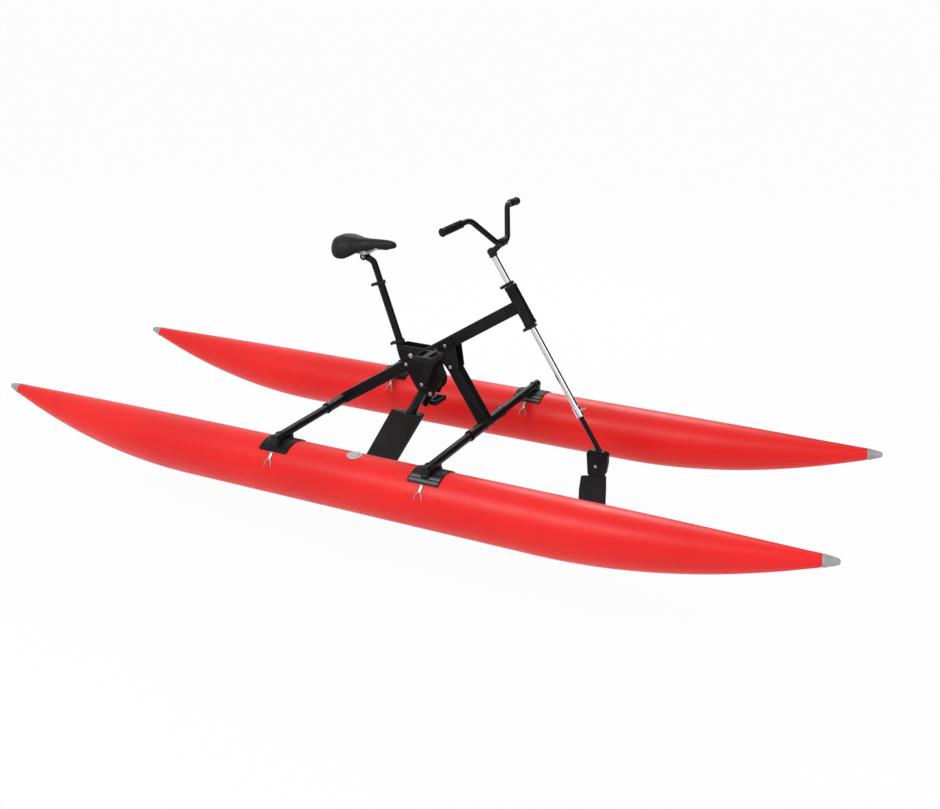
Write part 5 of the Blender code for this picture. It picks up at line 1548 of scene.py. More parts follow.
def make_bush(end):
    """A flanged plastic bush pressed into the head tube's end."""
    start = HEAD_TUBE_HALF + SEAT_GAP
    inner, outer, rim = COLUMN_RADIUS + SEAT_GAP, 0.0158, HEAD_TUBE_RADIUS + 0.0009
    profile = [
        (inner, start + BUSH_FLANGE),
        (rim - 0.0008, start + BUSH_FLANGE),
        (rim, start + BUSH_FLANGE - 0.0008),
        (rim, start),
        (outer, start),
        (outer, start - BUSH_DEPTH),
        (inner, start - BUSH_DEPTH),
    ]
    return ringed("bush", profile, facing(HEAD, STEER_UP * end), MOULDED, 64, hollow=True)


for name, end in (("upper", 1), ("lower", -1)):
    hand_over("head_bush_" + name, make_bush(end))
print("collars and levers:", 2 * len(COLLARS))

# %% [markdown]
# ## Seat mast and post
#
# The mast slides in the frame's socket and the post slides in the mast, so the seat has two clamps. The
# post is bent back at its top to a round head, and a cast alloy block turns on that head to tilt the
# saddle. The mast is a hollow turning, because its mouth shows when the post is drawn up, and the post is a
# bent wire.

# %% Mast and post
SEAT_PIVOT = Vector((-0.21839, 0, 0.90151))
POST_RADIUS = 0.0136
POST_DEPTH = 0.090
POST_BEND = 0.338 + 0.013
MAST_DEPTH = 0.100
MARK_PITCH = 0.006
CLAMP_LIFT = 0.0201
SADDLE_MIDDLE_X = -0.212
SADDLE_TOP = 0.990
SADDLE_THICK = 0.052


def make_mast():
    inner = MAST_RADIUS - 0.002
    top = MAST_TOP + COLLAR_HALF + 0.001
    profile = [
        (inner, top), (MAST_RADIUS - 0.0005, top), (MAST_RADIUS, top - 0.0005),
        (MAST_RADIUS, -MAST_DEPTH), (inner, -MAST_DEPTH),
    ]
    return ringed("mast", profile, facing(MAST, MAST_UP), PAINT, 64, hollow=True)


def make_post():
    corner = along_mast(POST_BEND)
    path = fillet([along_mast(MAST_TOP - POST_DEPTH), corner, SEAT_PIVOT], 0.030, 12, closed=False)
    tube = wire("post", path, POST_RADIUS, PAINT, round_steps=12)
    head_place = facing(SEAT_PIVOT, (0, 1, 0))
    head = rod("post_head", 0.0155, -0.017, 0.017, head_place, PAINT, 48, edge=0.001)
    marks = []
    for index in range(9):
        height = MAST_TOP + 2 * MARK_PITCH + MARK_PITCH * index
        wide = 0.0030 if index % 4 == 0 else 0.0020
        spot = facing(
            along_mast(height) + Vector((0, -POST_RADIUS + 0.00005, 0)), (0, -1, 0),
            MAST_UP.cross(Vector((0, 1, 0))),
        )
        marks.append(block("mark", (wide, 0.0005, 0.0004), spot, CONE_PLASTIC, 0.0001, 1))
    return [tube, head, *marks]


print("depth of the mast below its collar:", MAST_DEPTH)

# %% Saddle clamp and rails


def make_saddle_clamp():
    """Two cast jaws on the post's head, drawn together by a screw in front and one behind."""
    centre = SEAT_PIVOT + Vector((0, 0, CLAMP_LIFT))
    lower = block(
        "lower_jaw", (0.046, 0.058, 0.0085), Matrix.Translation(centre + Vector((0, 0, -0.0038))), ALLOY,
        0.0022, 4,
    )
    upper = block(
        "upper_jaw", (0.042, 0.060, 0.0058), Matrix.Translation(centre + Vector((0, 0, 0.0050))), ALLOY,
        0.0020, 4,
    )
    parts = [lower, upper]
    for sign in (-1, 1):
        spot = facing(centre + Vector((sign * 0.0165, 0, 0.0080)), (0, 0, 1))
        parts.append(screw_at("jaw_screw", spot, 0.7))
        side = facing(SEAT_PIVOT + Vector((0, sign * 0.0172, 0)), (0, sign, 0))
        parts.append(screw_at("pivot_screw", side, 0.9))
    return parts


RAIL_HALF = 0.022
RAIL_REACH = 0.105
RAIL_WIRE = 0.0035
RAIL_LIFT = 0.0208


def make_rails():
    rail_z = SEAT_PIVOT.z + RAIL_LIFT
    top_z = SADDLE_TOP - SADDLE_THICK - 0.0036
    rear_x, nose_x = SADDLE_MIDDLE_X - RAIL_REACH, SADDLE_MIDDLE_X + RAIL_REACH
    side = [
        (rear_x, RAIL_HALF, top_z),
        (rear_x + 0.018, RAIL_HALF, top_z - 0.004),
        (SEAT_PIVOT.x - 0.032, RAIL_HALF, rail_z),
        (SEAT_PIVOT.x + 0.028, RAIL_HALF, rail_z),
        (SEAT_PIVOT.x + 0.062, RAIL_HALF * 0.85, top_z + 0.006),
        (nose_x - 0.020, RAIL_HALF * 0.5, top_z + 0.008),
    ]
    front = [
        (nose_x - 0.010, RAIL_HALF * 0.25, top_z + 0.008),
        (nose_x - 0.010, -RAIL_HALF * 0.25, top_z + 0.008),
    ]
    path = side + front + [(x, -y, z) for x, y, z in reversed(side)]
    return wire("rails", fillet(path, 0.020, 5, closed=False), RAIL_WIRE, STEEL, round_steps=6)


hand_over("seat_mast", make_mast())
hand_over("seatpost", *make_post())
hand_over("saddle_clamp", *make_saddle_clamp())
hand_over("saddle_rails", make_rails())
print("post bend to clamp:", round((SEAT_PIVOT - along_mast(POST_BEND)).length, 3))

# %% [markdown]
# ## The saddle
#
# A sprung plastic shell carries foam, and a vinyl cover is pulled over both and glued beneath. The photo
# shows a broad, round rear whose wings hang well down, and a long slim nose that stays almost level. The
# form is drawn as seven rings, subdivided, and then inflated a little as cloth, so that the foam's fullness
# is even all round. The seam comes after: one line runs back from the nose, round the crown and forward
# again, with its stitches.

# %% Saddle form
SADDLE_RINGS = [
    (-0.500, 0.42, 0.026, 0.002, 0.026),
    (-0.420, 0.94, 0.010, 0.000, 0.048),
    (-0.250, 1.02, 0.005, 0.000, 0.058),
    (-0.100, 0.72, 0.016, 0.000, 0.026),
    (0.040, 0.37, 0.017, 0.001, 0.004),
    (0.330, 0.28, 0.009, 0.003, 0.000),
    (0.500, 0.18, 0.014, 0.010, 0.000),
]
SADDLE_LENGTH = 0.290 * 1.03
SADDLE_HALF_WIDTH = 0.165 / 2 * 1.08
WING_FULLNESS = 1.2


def saddle_ring(half_wide, top, base, wing):
    side = [
        (0.62 * half_wide, top - 0.05 * (top - base)),
        (half_wide, base + 0.30 * (top - base) - 0.4 * wing),
        (0.78 * half_wide, base - wing),
        (0.44 * half_wide, base - 0.25 * wing),
    ]
    return [(0.0, top), *side, (0.0, base)] + [(-y, z) for y, z in reversed(side)]


def make_saddle_form():
    base = SADDLE_TOP - SADDLE_THICK + 0.0005
    rings = []
    for along, width, drop, rise, wing in SADDLE_RINGS:
        x = SADDLE_MIDDLE_X + along * SADDLE_LENGTH
        ring = saddle_ring(width * SADDLE_HALF_WIDTH, SADDLE_TOP - drop, base + rise, wing * WING_FULLNESS)
        rings.append([(x, y, z) for y, z in ring])
    form = skin_over("saddle_form", rings)
    soften = form.modifiers.new("soften", "SUBSURF")
    soften.levels = 3
    apply_all(form)
    return form


print("rings of the saddle:", len(SADDLE_RINGS))

# %% Foam and cover
CLOTH_FRAMES = 16
CLOTH_PRESSURE = 4.0
FOAM_GRAIN = 0.0040
MOST_SWELL = 0.0035


def inflate(form):
    """Swells a remeshed copy as cloth under pressure, and keeps each point within a few millimetres."""
    remesh = form.modifiers.new("even_mesh", "REMESH")
    remesh.mode = "VOXEL"
    remesh.voxel_size = FOAM_GRAIN
    apply_all(form)
    rest = [vertex.co.copy() for vertex in form.data.vertices]
    cloth = form.modifiers.new("cover", "CLOTH")
    cloth.settings.use_pressure = True
    cloth.settings.uniform_pressure_force = CLOTH_PRESSURE
    cloth.settings.effector_weights.gravity = 0.0
    cloth.settings.quality = 5
    cloth.settings.tension_stiffness = 25.0
    cloth.settings.bending_stiffness = 5.0
    cloth.point_cache.frame_start = 1
    cloth.point_cache.frame_end = CLOTH_FRAMES
    for step in range(1, CLOTH_FRAMES + 1):
        bpy.context.scene.frame_set(step)
    apply_all(form)
    bpy.context.scene.frame_set(1)
    for vertex, start in zip(form.data.vertices, rest):
        move = vertex.co - start
        if move.length > MOST_SWELL:
            vertex.co = start + move.normalized() * MOST_SWELL
    smooth = form.modifiers.new("even", "SMOOTH")
    smooth.factor = 0.5
    smooth.iterations = 10
    refine = form.modifiers.new("refine", "SUBSURF")
    refine.levels = 1
    apply_all(form)
    return form


saddle = inflate(make_saddle_form())
saddle.data.materials.append(VINYL)
low = min(v.co.z for v in saddle.data.vertices)
high = max(v.co.z for v in saddle.data.vertices)
print("saddle height:", round(high - low, 4), "faces:", len(saddle.data.polygons))

# %% [markdown]
# ### Seams and shell
#
# The seam is dropped on to the finished cover from above, point by point, so it follows the swelling. It is
# a fine cord in the join with a row of stitches on each side. The plastic shell closes the saddle from
# below.

# %% Line of the seam
NOSE_HALF = 0.009
REAR_SPREAD = 0.034
STITCH_BESIDE = 0.0026


def dropped(piece, points, lift):
    """The points dropped straight down on to a piece, a little proud of it."""
    landed = []
    for x, y in points:
        hit, spot, normal, _ = piece.ray_cast(Vector((x, y, SADDLE_TOP + 0.1)), Vector((0, 0, -1)))
        if hit:
            landed.append(spot + normal * lift)
    return landed


def crown_loop():
    """One closed line: back from the nose along the crown's edge, round the rear, and forward again."""
    nose_x = SADDLE_MIDDLE_X + 0.43 * SADDLE_LENGTH
    rear_x = SADDLE_MIDDLE_X - 0.27 * SADDLE_LENGTH
    side = []
    for index in range(45):
        share = index / 44
        spread = (REAR_SPREAD - NOSE_HALF) * share**2 * (3 - 2 * share)
        side.append((nose_x + (rear_x - nose_x) * share, NOSE_HALF + spread))
    turns = [math.radians(90 + 7.5 * i) for i in range(1, 24)]
    rear = [(rear_x + REAR_SPREAD * math.cos(a), REAR_SPREAD * math.sin(a)) for a in turns]
    front = [
        (nose_x + NOSE_HALF * math.cos(a), NOSE_HALF * math.sin(a))
        for a in (math.radians(-70 + 20 * i) for i in range(8))
    ]
    return side + rear + [(x, -y) for x, y in reversed(side)] + front


print("stitches stand beside the seam by:", STITCH_BESIDE)

# %% Seam and under shell


def seam(name, points):
    """A cord in the join, and stitches to both sides of it."""
    cord = wire(name, dropped(saddle, points, 0.0001), 0.0008, VINYL, round_steps=3, closed=True)
    parts = [cord]
    line = [Vector((x, y, 0)) for x, y in [*points, points[0]]]
    for before, after in zip(line, line[1:]):
        along = (after - before).normalized()
        beside = Vector((-along.y, along.x, 0)) * STITCH_BESIDE
        for sign in (-1, 1):
            ends = [before.lerp(after, 0.15) + beside * sign, before.lerp(after, 0.80) + beside * sign]
            landed = dropped(saddle, [(p.x, p.y) for p in ends], 0.0002)
            if len(landed) == 2:
                parts.append(wire("stitch", landed, 0.00035, GRIP_RUBBER, round_steps=0))
    return parts


seams = seam("crown_seam", crown_loop())
shell_outline = [(0.108, 0.010), (0.060, 0.018), (0.0, 0.026), (-0.055, 0.036), (-0.105, 0.032)]
mirrored = [(x, -y) for x, y in reversed(shell_outline)]
shell_place = moved(SADDLE_MIDDLE_X, 0, SADDLE_TOP - SADDLE_THICK + 0.0028)
shell = plate("shell", fillet(shell_outline + mirrored, 0.010, 5), 0.0024, shell_place, MOULDED, 0.0005)
cover = hand_over("saddle", saddle, smooth=60.0)
ride_along(unite("saddle_stitching", *seams), "saddle", 60.0)
ride_along(shell, "saddle")
print("stitches:", len(seams) - 1)

# %% [markdown]
# ## Steering
#
# The column is a bright drawn tube that slides and turns in the head tube. A quill stem stands in its top
# and a clamp ring is brazed to its foot, where a small screw with a wire loop holds the rudder's stock. The
# bar is one tube with four bends, knurled under the stem's clamp, and each grip is a ribbed rubber sleeve
# with a closed end.

# %% Column and its clamp screw
COLUMN_TOP = 0.215
COLUMN_FOOT = -0.500
COLUMN_WALL = 0.0022
LOOP_RADIUS = 0.0085
LOOP_HEIGHT = 0.031
CLAMP_HEIGHT = 0.045


def make_column():
    inner, outer, ring = COLUMN_RADIUS - COLUMN_WALL, COLUMN_RADIUS, 0.0160
    profile = [
        (inner, COLUMN_TOP),
        (outer - 0.0005, COLUMN_TOP),
        (outer, COLUMN_TOP - 0.0005),
        (outer, COLUMN_FOOT + CLAMP_HEIGHT + 0.0020),
        (outer + 0.0012, COLUMN_FOOT + CLAMP_HEIGHT + 0.0006),
        (ring - 0.0010, COLUMN_FOOT + CLAMP_HEIGHT - 0.0006),
        (ring, COLUMN_FOOT + CLAMP_HEIGHT - 0.0020),
        (ring, COLUMN_FOOT + 0.0010),
        (ring - 0.0010, COLUMN_FOOT),
        (inner, COLUMN_FOOT),
    ]
    tube = ringed("column", profile, facing(HEAD, STEER_UP), POLISHED, 72, hollow=True)
    lug = ringed("lug", [(0.0072, 0.0145), (0.0070, 0.0177)], screw_place(), STEEL, 40, edge=0.0004)
    return [tube, lug]


def screw_place():
    """The clamp screw's own axis, ahead of the column, level with the middle of the clamp ring."""
    return facing(along_steer(COLUMN_FOOT + CLAMP_HEIGHT / 2), BEAM_AHEAD, (0, 1, 0))


print("column length:", round(COLUMN_TOP - COLUMN_FOOT, 3))

# %% Clamp screw


def make_clamp_screw():
    head = [
        (0.0030, 0.0106), (0.0030, 0.0180), (0.0050, 0.0180), (0.0055, 0.0185), (0.0055, 0.0232),
        (0.0046, 0.0240),
    ]
    loop = [
        (LOOP_RADIUS * math.sin(a), 0.0, LOOP_HEIGHT - LOOP_RADIUS * math.cos(a))
        for a in (math.radians(15 + 15 * i) for i in range(23))
    ]
    ends = [(x, 0.0, 0.0212) for x in (loop[0][0], loop[-1][0])]
    wire_loop = wire("loop", [ends[0], *loop, ends[1]], 0.0014, STEEL, screw_place(), 5)
    return [ringed("screw_head", head, screw_place(), STEEL, 40), wire_loop]


hand_over("steering_column", *make_column())
hand_over("clamp_knob", *make_clamp_screw())
print("pieces so far:", len(STANDING_FOR))

# %% [markdown]
# ### Stem
#
# A quill stem stands in the column: a round head, a short arm and a clamp with four small bolts. The arm
# could be a plain cylinder, but a wire whose radius changes from point to point has the waist of a forged
# arm.

# %% Stem
BAR_CENTRE = along_steer(0.2487, 0.0647)
STEM_CLAMP_RADIUS = 0.0165
STEM_CLAMP_HALF = 0.019
BAR_RADIUS = 0.0111


def make_stem():
    top = COLUMN_TOP + SEAT_GAP
    quill_radius = COLUMN_RADIUS - 0.0025
    quill = [
        (0.0060, top + 0.0362),
        (0.0110, top + 0.0350),
        (0.0150, top + 0.0320),
        (0.0165, top + 0.0280),
        (0.0165, top + 0.0040),
        (0.0160, top + 0.0015),
        (0.0140, top),
        (quill_radius, top),
        (quill_radius, top - 0.070),
    ]
    head = ringed("quill", quill, facing(HEAD, STEER_UP), MOULDED, 56)
    start = along_steer(top + 0.018)
    stops = [0.0, 0.2, 0.45, 0.7, 1.0]
    path = [start.lerp(BAR_CENTRE, share) for share in stops]
    arm = wire("arm", path, 0.0130, MOULDED, round_steps=10, radii=[1.05, 0.96, 0.90, 0.94, 1.08])
    half, radius, bore = STEM_CLAMP_HALF, STEM_CLAMP_RADIUS, BAR_RADIUS + SEAT_GAP
    ring = [
        (bore, half),
        (radius - 0.0022, half),
        (radius - 0.0006, half - 0.0008),
        (radius, half - 0.0024),
        (radius, 0.0024 - half),
        (radius - 0.0006, 0.0008 - half),
        (radius - 0.0022, -half),
        (bore, -half),
    ]
    clamp = ringed("clamp", ring, facing(BAR_CENTRE, (0, 1, 0)), MOULDED, 56, hollow=True)
    ahead = (BAR_CENTRE - start).normalized()
    across = ahead.cross(Vector((0, 1, 0)))
    bolts = []
    for y in (-0.011, 0.011):
        for sign in (-1, 1):
            spot = BAR_CENTRE + ahead * (radius * 0.62) + across * (sign * radius * 0.72) + Vector((0, y, 0))
            bolts.append(screw_at("stem_bolt", facing(spot, ahead), 0.45))
    cap = screw_at("quill_bolt", facing(along_steer(top + 0.0364), STEER_UP), 0.85)
    return [head, arm, clamp, cap, *bolts]


hand_over("stem", *make_stem())
print("middle of the bar:", [round(v, 3) for v in BAR_CENTRE])

# %% [markdown]
# ### Handlebar and grips
#
# The bar is one tube, so a wire along a path with round corners gives it in one piece. Each grip is turned,
# because its ribs are rings. The profile repeats one rib, and the ribs swell a little toward the middle of
# the grip.

# %% Handlebar and grips
HALF_BAR = [(0.0, 0.0, 0.0), (0.0, 0.042, 0.0), (-0.060, 0.166, 0.110), (-0.092, 0.326, 0.092)]
GRIP_LENGTH = 0.118
GRIP_RADIUS = 0.0155


def make_handlebar():
    half = [BAR_CENTRE + Vector(point) for point in HALF_BAR]
    other = [Vector((p.x, -p.y, p.z)) for p in half[1:]]
    path = fillet(list(reversed(other)) + half[1:], 0.060, 16, closed=False)
    tube = wire("bar", path, BAR_RADIUS, PAINT, round_steps=10)
    knurl = [(BAR_RADIUS + (0.0003 if index % 2 else 0.0), -0.030 + 0.0012 * index) for index in range(51)]
    sleeve = ringed("knurled_middle", knurl, facing(BAR_CENTRE, (0, 1, 0)), PAINT, 40)
    return [tube, sleeve]


RIBS = 22


def make_grip(sign):
    end = BAR_CENTRE + Vector(HALF_BAR[-1])
    inner = BAR_CENTRE + Vector(HALF_BAR[-2])
    outward = (end - inner).normalized()
    outward.y *= sign
    end.y *= sign
    profile = [
        (0.0040, 0.0060), (0.0100, 0.0056), (0.0140, 0.0044), (GRIP_RADIUS + 0.0010, 0.0020),
        (GRIP_RADIUS + 0.0010, -0.0030),
    ]
    pitch = (GRIP_LENGTH - 0.018) / RIBS
    for index in range(RIBS):
        height = -0.006 - pitch * index
        swell = GRIP_RADIUS - 0.0010 + 0.0009 * math.sin(math.pi * index / RIBS) ** 0.5
        profile += [
            (swell, height), (swell, height - pitch * 0.55), (swell - 0.0006, height - pitch * 0.70),
            (swell - 0.0006, height - pitch * 0.92),
        ]
    profile += [
        (GRIP_RADIUS, 0.0080 - GRIP_LENGTH), (GRIP_RADIUS, 0.0065 - GRIP_LENGTH),
        (BAR_RADIUS + 0.0006, 0.0060 - GRIP_LENGTH),
    ]
    return ringed("grip", profile, facing(end, outward), GRIP_RUBBER, 40)


hand_over("handlebar", *make_handlebar())
for side_name, out in SIDES:
    hand_over("grip_" + side_name, make_grip(out))
print("bar width:", round(2 * HALF_BAR[-1][1] + 0.012, 3))

# %% [markdown]
# ## Rudder
#
# The stock ends in a fork of two cast cheeks. The blade hangs between them on one bolt, so it can kick up
# over a sandbank. It is a flat moulded plate with a step behind the fork, which stops it at its working
# angle. Both are outlines given thickness, with their corners rounded first, and the slot for the blade is
# cut through the fork.

# %% Stock and cheeks
RUDDER_BOLT = Vector((0.8307, 0.0, 0.1636))
RUDDER_CHORD = 0.116
RUDDER_HEAD_HEIGHT = 0.106
RUDDER_FOOT_Z = -0.160
STOCK_RADIUS = 0.0098
STOCK_DEPTH = 0.120
TANG_RADIUS = 0.022
BLADE_THICKNESS = 0.006
CHEEK_THICKNESS = 0.009
BLADE_PLAY = 0.0004
CHEEKS_WIDTH = BLADE_THICKNESS + 2 * (CHEEK_THICKNESS + BLADE_PLAY)
HEAD_SHARES = [
    (-0.351, 0.472),
    (-0.259, 0.623),
    (0.259, 0.623),
    (0.422, 0.547),
    (0.414, 0.142),
    (0.362, -0.283),
    (-0.086, -0.377),
    (-0.278, -0.421),
]


def make_stock():
    tip = RUDDER_BOLT + Vector((0.0110, 0, 0.0573))
    low, high = (tip - HEAD).dot(STEER_UP), COLUMN_FOOT + STOCK_DEPTH
    profile = [(STOCK_RADIUS, low), (STOCK_RADIUS, high - 0.0010), (STOCK_RADIUS - 0.0010, high)]
    stock = ringed("stock", profile, facing(HEAD, STEER_UP), PAINT, 48)
    outline = [
        (RUDDER_BOLT.x + x * RUDDER_CHORD, RUDDER_BOLT.z + z * RUDDER_HEAD_HEIGHT)
        for x, z in HEAD_SHARES
    ]
    cheeks = plate("cheeks", fillet(outline, 0.008, 5), CHEEKS_WIDTH, upright(0), PAINT, 0.0012)
    slot_size = (0.30, BLADE_THICKNESS + 2 * BLADE_PLAY, 0.30)
    slot = block(
        "slot", slot_size, Matrix.Translation(RUDDER_BOLT + Vector((0, 0, 0.026 - 0.15))), PAINT, 0.0004,
        1,
    )
    cut_away(cheeks, slot)
    root = low + 0.004
    flare = ringed(
        "root", [(0.0125, root - 0.004), (0.0118, root), (0.0101, root + 0.005)], facing(HEAD, STEER_UP),
        PAINT, 40,
    )
    parts = [stock, cheeks, flare]
    for sign in (-1, 1):
        face = RUDDER_BOLT + Vector((0, sign * CHEEKS_WIDTH / 2, 0))
        parts.append(ringed(
            "boss", [(0.0095, -0.0005), (0.0090, 0.0012)], facing(face, (0, sign, 0)), PAINT, 40,
            edge=0.0004,
        ))
        parts.append(screw_at(
            "rudder_screw", facing(face + Vector((0, sign * 0.0018, 0)), (0, sign, 0)), 0.85,
        ))
    return parts


print("radius of the stock:", STOCK_RADIUS)

# %% Rudder blade


def make_blade():
    x, z = RUDDER_BOLT.x, RUDDER_BOLT.z
    tang = [
        (x + TANG_RADIUS * math.cos(a), z + TANG_RADIUS * math.sin(a))
        for a in (math.radians(-10 + 12.5 * i) for i in range(17))
    ]
    behind = [(-0.259, -0.431), (-0.549, -0.500), (-0.608, -1.034), (-0.603, -2.069)]
    ahead = [(0.345, -2.155), (0.392, -1.379), (0.386, -0.793), (0.369, -0.388)]
    foot = [(-0.345, 0.012), (-0.086, 0.0), (0.172, 0.010)]
    rear_edge = [(x + across * RUDDER_CHORD, z + down * RUDDER_CHORD) for across, down in behind]
    front_edge = [(x + across * RUDDER_CHORD, z + down * RUDDER_CHORD) for across, down in ahead]
    low_edge = [(x + across * RUDDER_CHORD, RUDDER_FOOT_Z + lift) for across, lift in foot]
    outline = [tuple(p) for p in fillet(rear_edge + low_edge + front_edge, 0.006, 4, closed=False)]
    return plate("blade", tang + outline, BLADE_THICKNESS, upright(0), MOULDED, 0.0014)


hand_over("rudder_stock", *make_stock())
hand_over("rudder_blade", make_blade())
print("cheeks width:", round(CHEEKS_WIDTH, 4))

# %% [markdown]
# ## Drive leg, cranks and propeller
#
# Cranks turn a bevel gear in the drum under the beam, a shaft runs down the leg, and a second pair of gears
# in the pod turns the propeller. The leg wears a moulded sheath with a foil's section, so it doubles as a
# fin. The crank arms are forged, with a long shallow groove along each face. The pedals are moulded cages
# whose edges carry a row of blunt teeth, and the propeller's two blades twist from root to tip. The sheath
# starts as a round turning, whose rings are then pulled into the foil's section and leaned along the leg.

# %% Sheath of the leg
SHEATH_CHORD = 0.160
SHEATH_LEAD = 0.066
SHEATH_THICKNESS = 0.046
SHEATH_TOP, SHEATH_FOOT = 0.240, -0.070
LEG_ANGLE = math.radians(30.0)


def foil_half(share):
    """Half the thickness of a plain four-digit foil at that share of its chord."""
    shape = (
        0.2969 * math.sqrt(share) - 0.126 * share - 0.3516 * share**2
        + 0.2843 * share**3 - 0.1015 * share**4
    )
    return max(5 * SHEATH_THICKNESS * shape, 0.0009)


def make_sheath():
    edge = 0.0035
    half = (SHEATH_TOP - SHEATH_FOOT) / 2
    profile = [
        (0.955, -half), (0.985, 0.3 * edge - half), (1.0, edge - half), (1.0, half - edge),
        (0.985, half - 0.3 * edge), (0.955, half),
    ]
    sheath = ringed("sheath", profile, Matrix(), MOULDED, 64)
    middle = SHEATH_LEAD - SHEATH_CHORD / 2
    for vertex in sheath.data.vertices:
        x, y, z = vertex.co
        size = math.hypot(x, y)
        share = (1 - x / size) / 2
        across = math.copysign(foil_half(share), y) if abs(y) > 1e-6 else 0.0
        vertex.co = (middle + (SHEATH_LEAD - share * SHEATH_CHORD - middle) * size, across * size, z)
    sweep = Matrix.Identity(4)
    sweep[0][2] = math.tan(LEG_ANGLE)
    centre_z = (SHEATH_TOP + SHEATH_FOOT) / 2
    place = moved(DRIVE.x - (DRIVE.z - centre_z) * sweep[0][2], 0, centre_z) @ sweep
    return put(sheath, "sheath", place, MOULDED)


hand_over("leg_fairing", make_sheath())
print("chord of the sheath:", SHEATH_CHORD)

# %% [markdown]
# ### Crank arms
#
# A forged crank is a tapered bar with a round boss at each end. Its outline is two arcs joined by straight
# sides, given thickness as a plate. The long grooves are cut and not painted on as a bump, because a cut
# edge catches the light from every side.

# %% Crank arms
CRANK_LENGTH = 0.163
CRANK_ANGLE = math.radians(24.0)
CRANK_FACE = 0.080
CRANK_THICKNESS = 0.012
PEDAL_Y = 0.135
PEDAL_SIZE = (0.090, 0.094, 0.026)


def crank_end(out):
    return DRIVE + Vector((math.sin(CRANK_ANGLE), 0, math.cos(CRANK_ANGLE))) * (-out * CRANK_LENGTH)


def make_crank(out):
    direction = (crank_end(out) - DRIVE).normalized()
    place = facing(DRIVE + Vector((0, out * (CRANK_FACE - CRANK_THICKNESS / 2), 0)), (0, -out, 0), direction)
    hub, tip = 0.0185, 0.0135
    ends = [(hub * math.cos(a), hub * math.sin(a)) for a in (math.radians(98 + 10.25 * i) for i in range(17))]
    ends += [
        (CRANK_LENGTH + tip * math.cos(a), tip * math.sin(a))
        for a in (math.radians(-88 + 11 * i) for i in range(17))
    ]
    arm = plate("arm", ends, CRANK_THICKNESS, place, PAINT, 0.0024)
    groove_line = [(0.030, -0.0052), (0.138, -0.0034), (0.138, 0.0034), (0.030, 0.0052)]
    grooves = []
    for sign in (-1, 1):
        spot = place @ moved(0, 0, sign * CRANK_THICKNESS / 2)
        grooves.append(plate("groove", fillet(groove_line, 0.0036, 5), 0.0024, spot, PAINT, 0.0004))
    eye = rod("eye", 0.0083, -0.02, 0.02, place, PAINT, 32)
    cut_away(arm, *grooves, eye)
    start, finish_y = CRANK_FACE - 0.006, PEDAL_Y + PEDAL_SIZE[1] / 2 + SEAT_GAP
    spindle = [
        (0.0060, start), (0.0060, finish_y), (0.0084, finish_y), (0.0090, finish_y + 0.0006),
        (0.0090, finish_y + 0.0034), (0.0080, finish_y + 0.0040),
    ]
    shaft = ringed("spindle", spindle, facing(crank_end(out), (0, out, 0)), PAINT, 32)
    shoulder = rod(
        "shoulder", 0.0090, start, CRANK_FACE + 0.0055, facing(crank_end(out), (0, out, 0)), STEEL, 32,
        edge=0.0006,
    )
    bolt = screw_at(
        "crank_bolt", facing(DRIVE + Vector((0, out * (CRANK_FACE + 0.0006), 0)), (0, out, 0)), 1.0,
    )
    return [arm, shaft, shoulder, bolt]


print("crank length:", CRANK_LENGTH)

# %% [markdown]
# ### Pedals
#
# A pedal is a moulded cage with two windows, a bore for its spindle and a row of blunt teeth along its
# front and rear edge. The block is cut by the windows and the bore, and the teeth are added one pitch
# apart.

# %% Pedals
TEETH_A_SIDE = 9
TEETH_HIGH = 0.0026
PEDAL_MARGIN = 0.018


def make_pedal(out):
    place = Matrix.Translation(Vector((0, out * PEDAL_Y, 0)) + crank_end(out))
    length, width, height = PEDAL_SIZE
    body = block("cage", (length, width, height - 2 * TEETH_HIGH), place, MOULDED, 0.0042, 4)
    for sign in (-1, 1):
        window_size = (length / 2 - 0.020, width - 0.024, 0.1)
        spot = place @ moved(sign * (length / 4 + 0.001), 0, 0)
        window = block("window", window_size, spot, MOULDED, 0.003, 3)
        cut_away(body, window)
    bore = rod("bore", 0.0063, -0.1, 0.1, place @ facing((0, 0, 0), (0, 1, 0)), MOULDED, 24)
    cut_away(body, bore)
    parts = [body]
    pitch = (width - PEDAL_MARGIN) / (TEETH_A_SIDE - 1)
    for sign in (-1, 1):
        for index in range(TEETH_A_SIDE):
            along = -(width - PEDAL_MARGIN) / 2 + pitch * index
            spot = place @ moved(sign * (length / 2 - 0.0065), along, 0)
            parts.append(block("tooth", (0.0060, pitch * 0.52, height), spot, MOULDED, 0.0009, 1))
    for sign in (-1, 1):
        spot = place @ moved(sign * (length / 2 - 0.0004), 0, 0)
        parts.append(block("reflector", (0.0016, 0.040, 0.010), spot, GRIP_RUBBER, 0.0007, 2))
    return parts


for side_name, out in SIDES:
    hand_over("crank_arm_" + side_name, *make_crank(out))
    hand_over("pedal_" + side_name, *make_pedal(out))
print("pedal centres:", [[round(v, 3) for v in crank_end(out)] for _, out in SIDES])

# %% [markdown]
# ### Propeller
#
# A blade is a thin lens that turns as it goes outwards, so that each part of it moves the same distance
# through the water in one turn. By hand it would take many small turns. Here each ring is placed by the
# pitch, and one skin joins the rings. The second blade is the first one, turned half round.

# %% Propeller
PROP_RADIUS = 0.140
PROP_HUB = 0.022
PROP_PITCH = 0.26
BLADE_ROOT = 0.012
ROOT_CHORD = 0.044
TIP_START = 0.80
BLADE_THICKEST = 0.005
BLADE_STATIONS = 18
BLADE_POINTS = 20


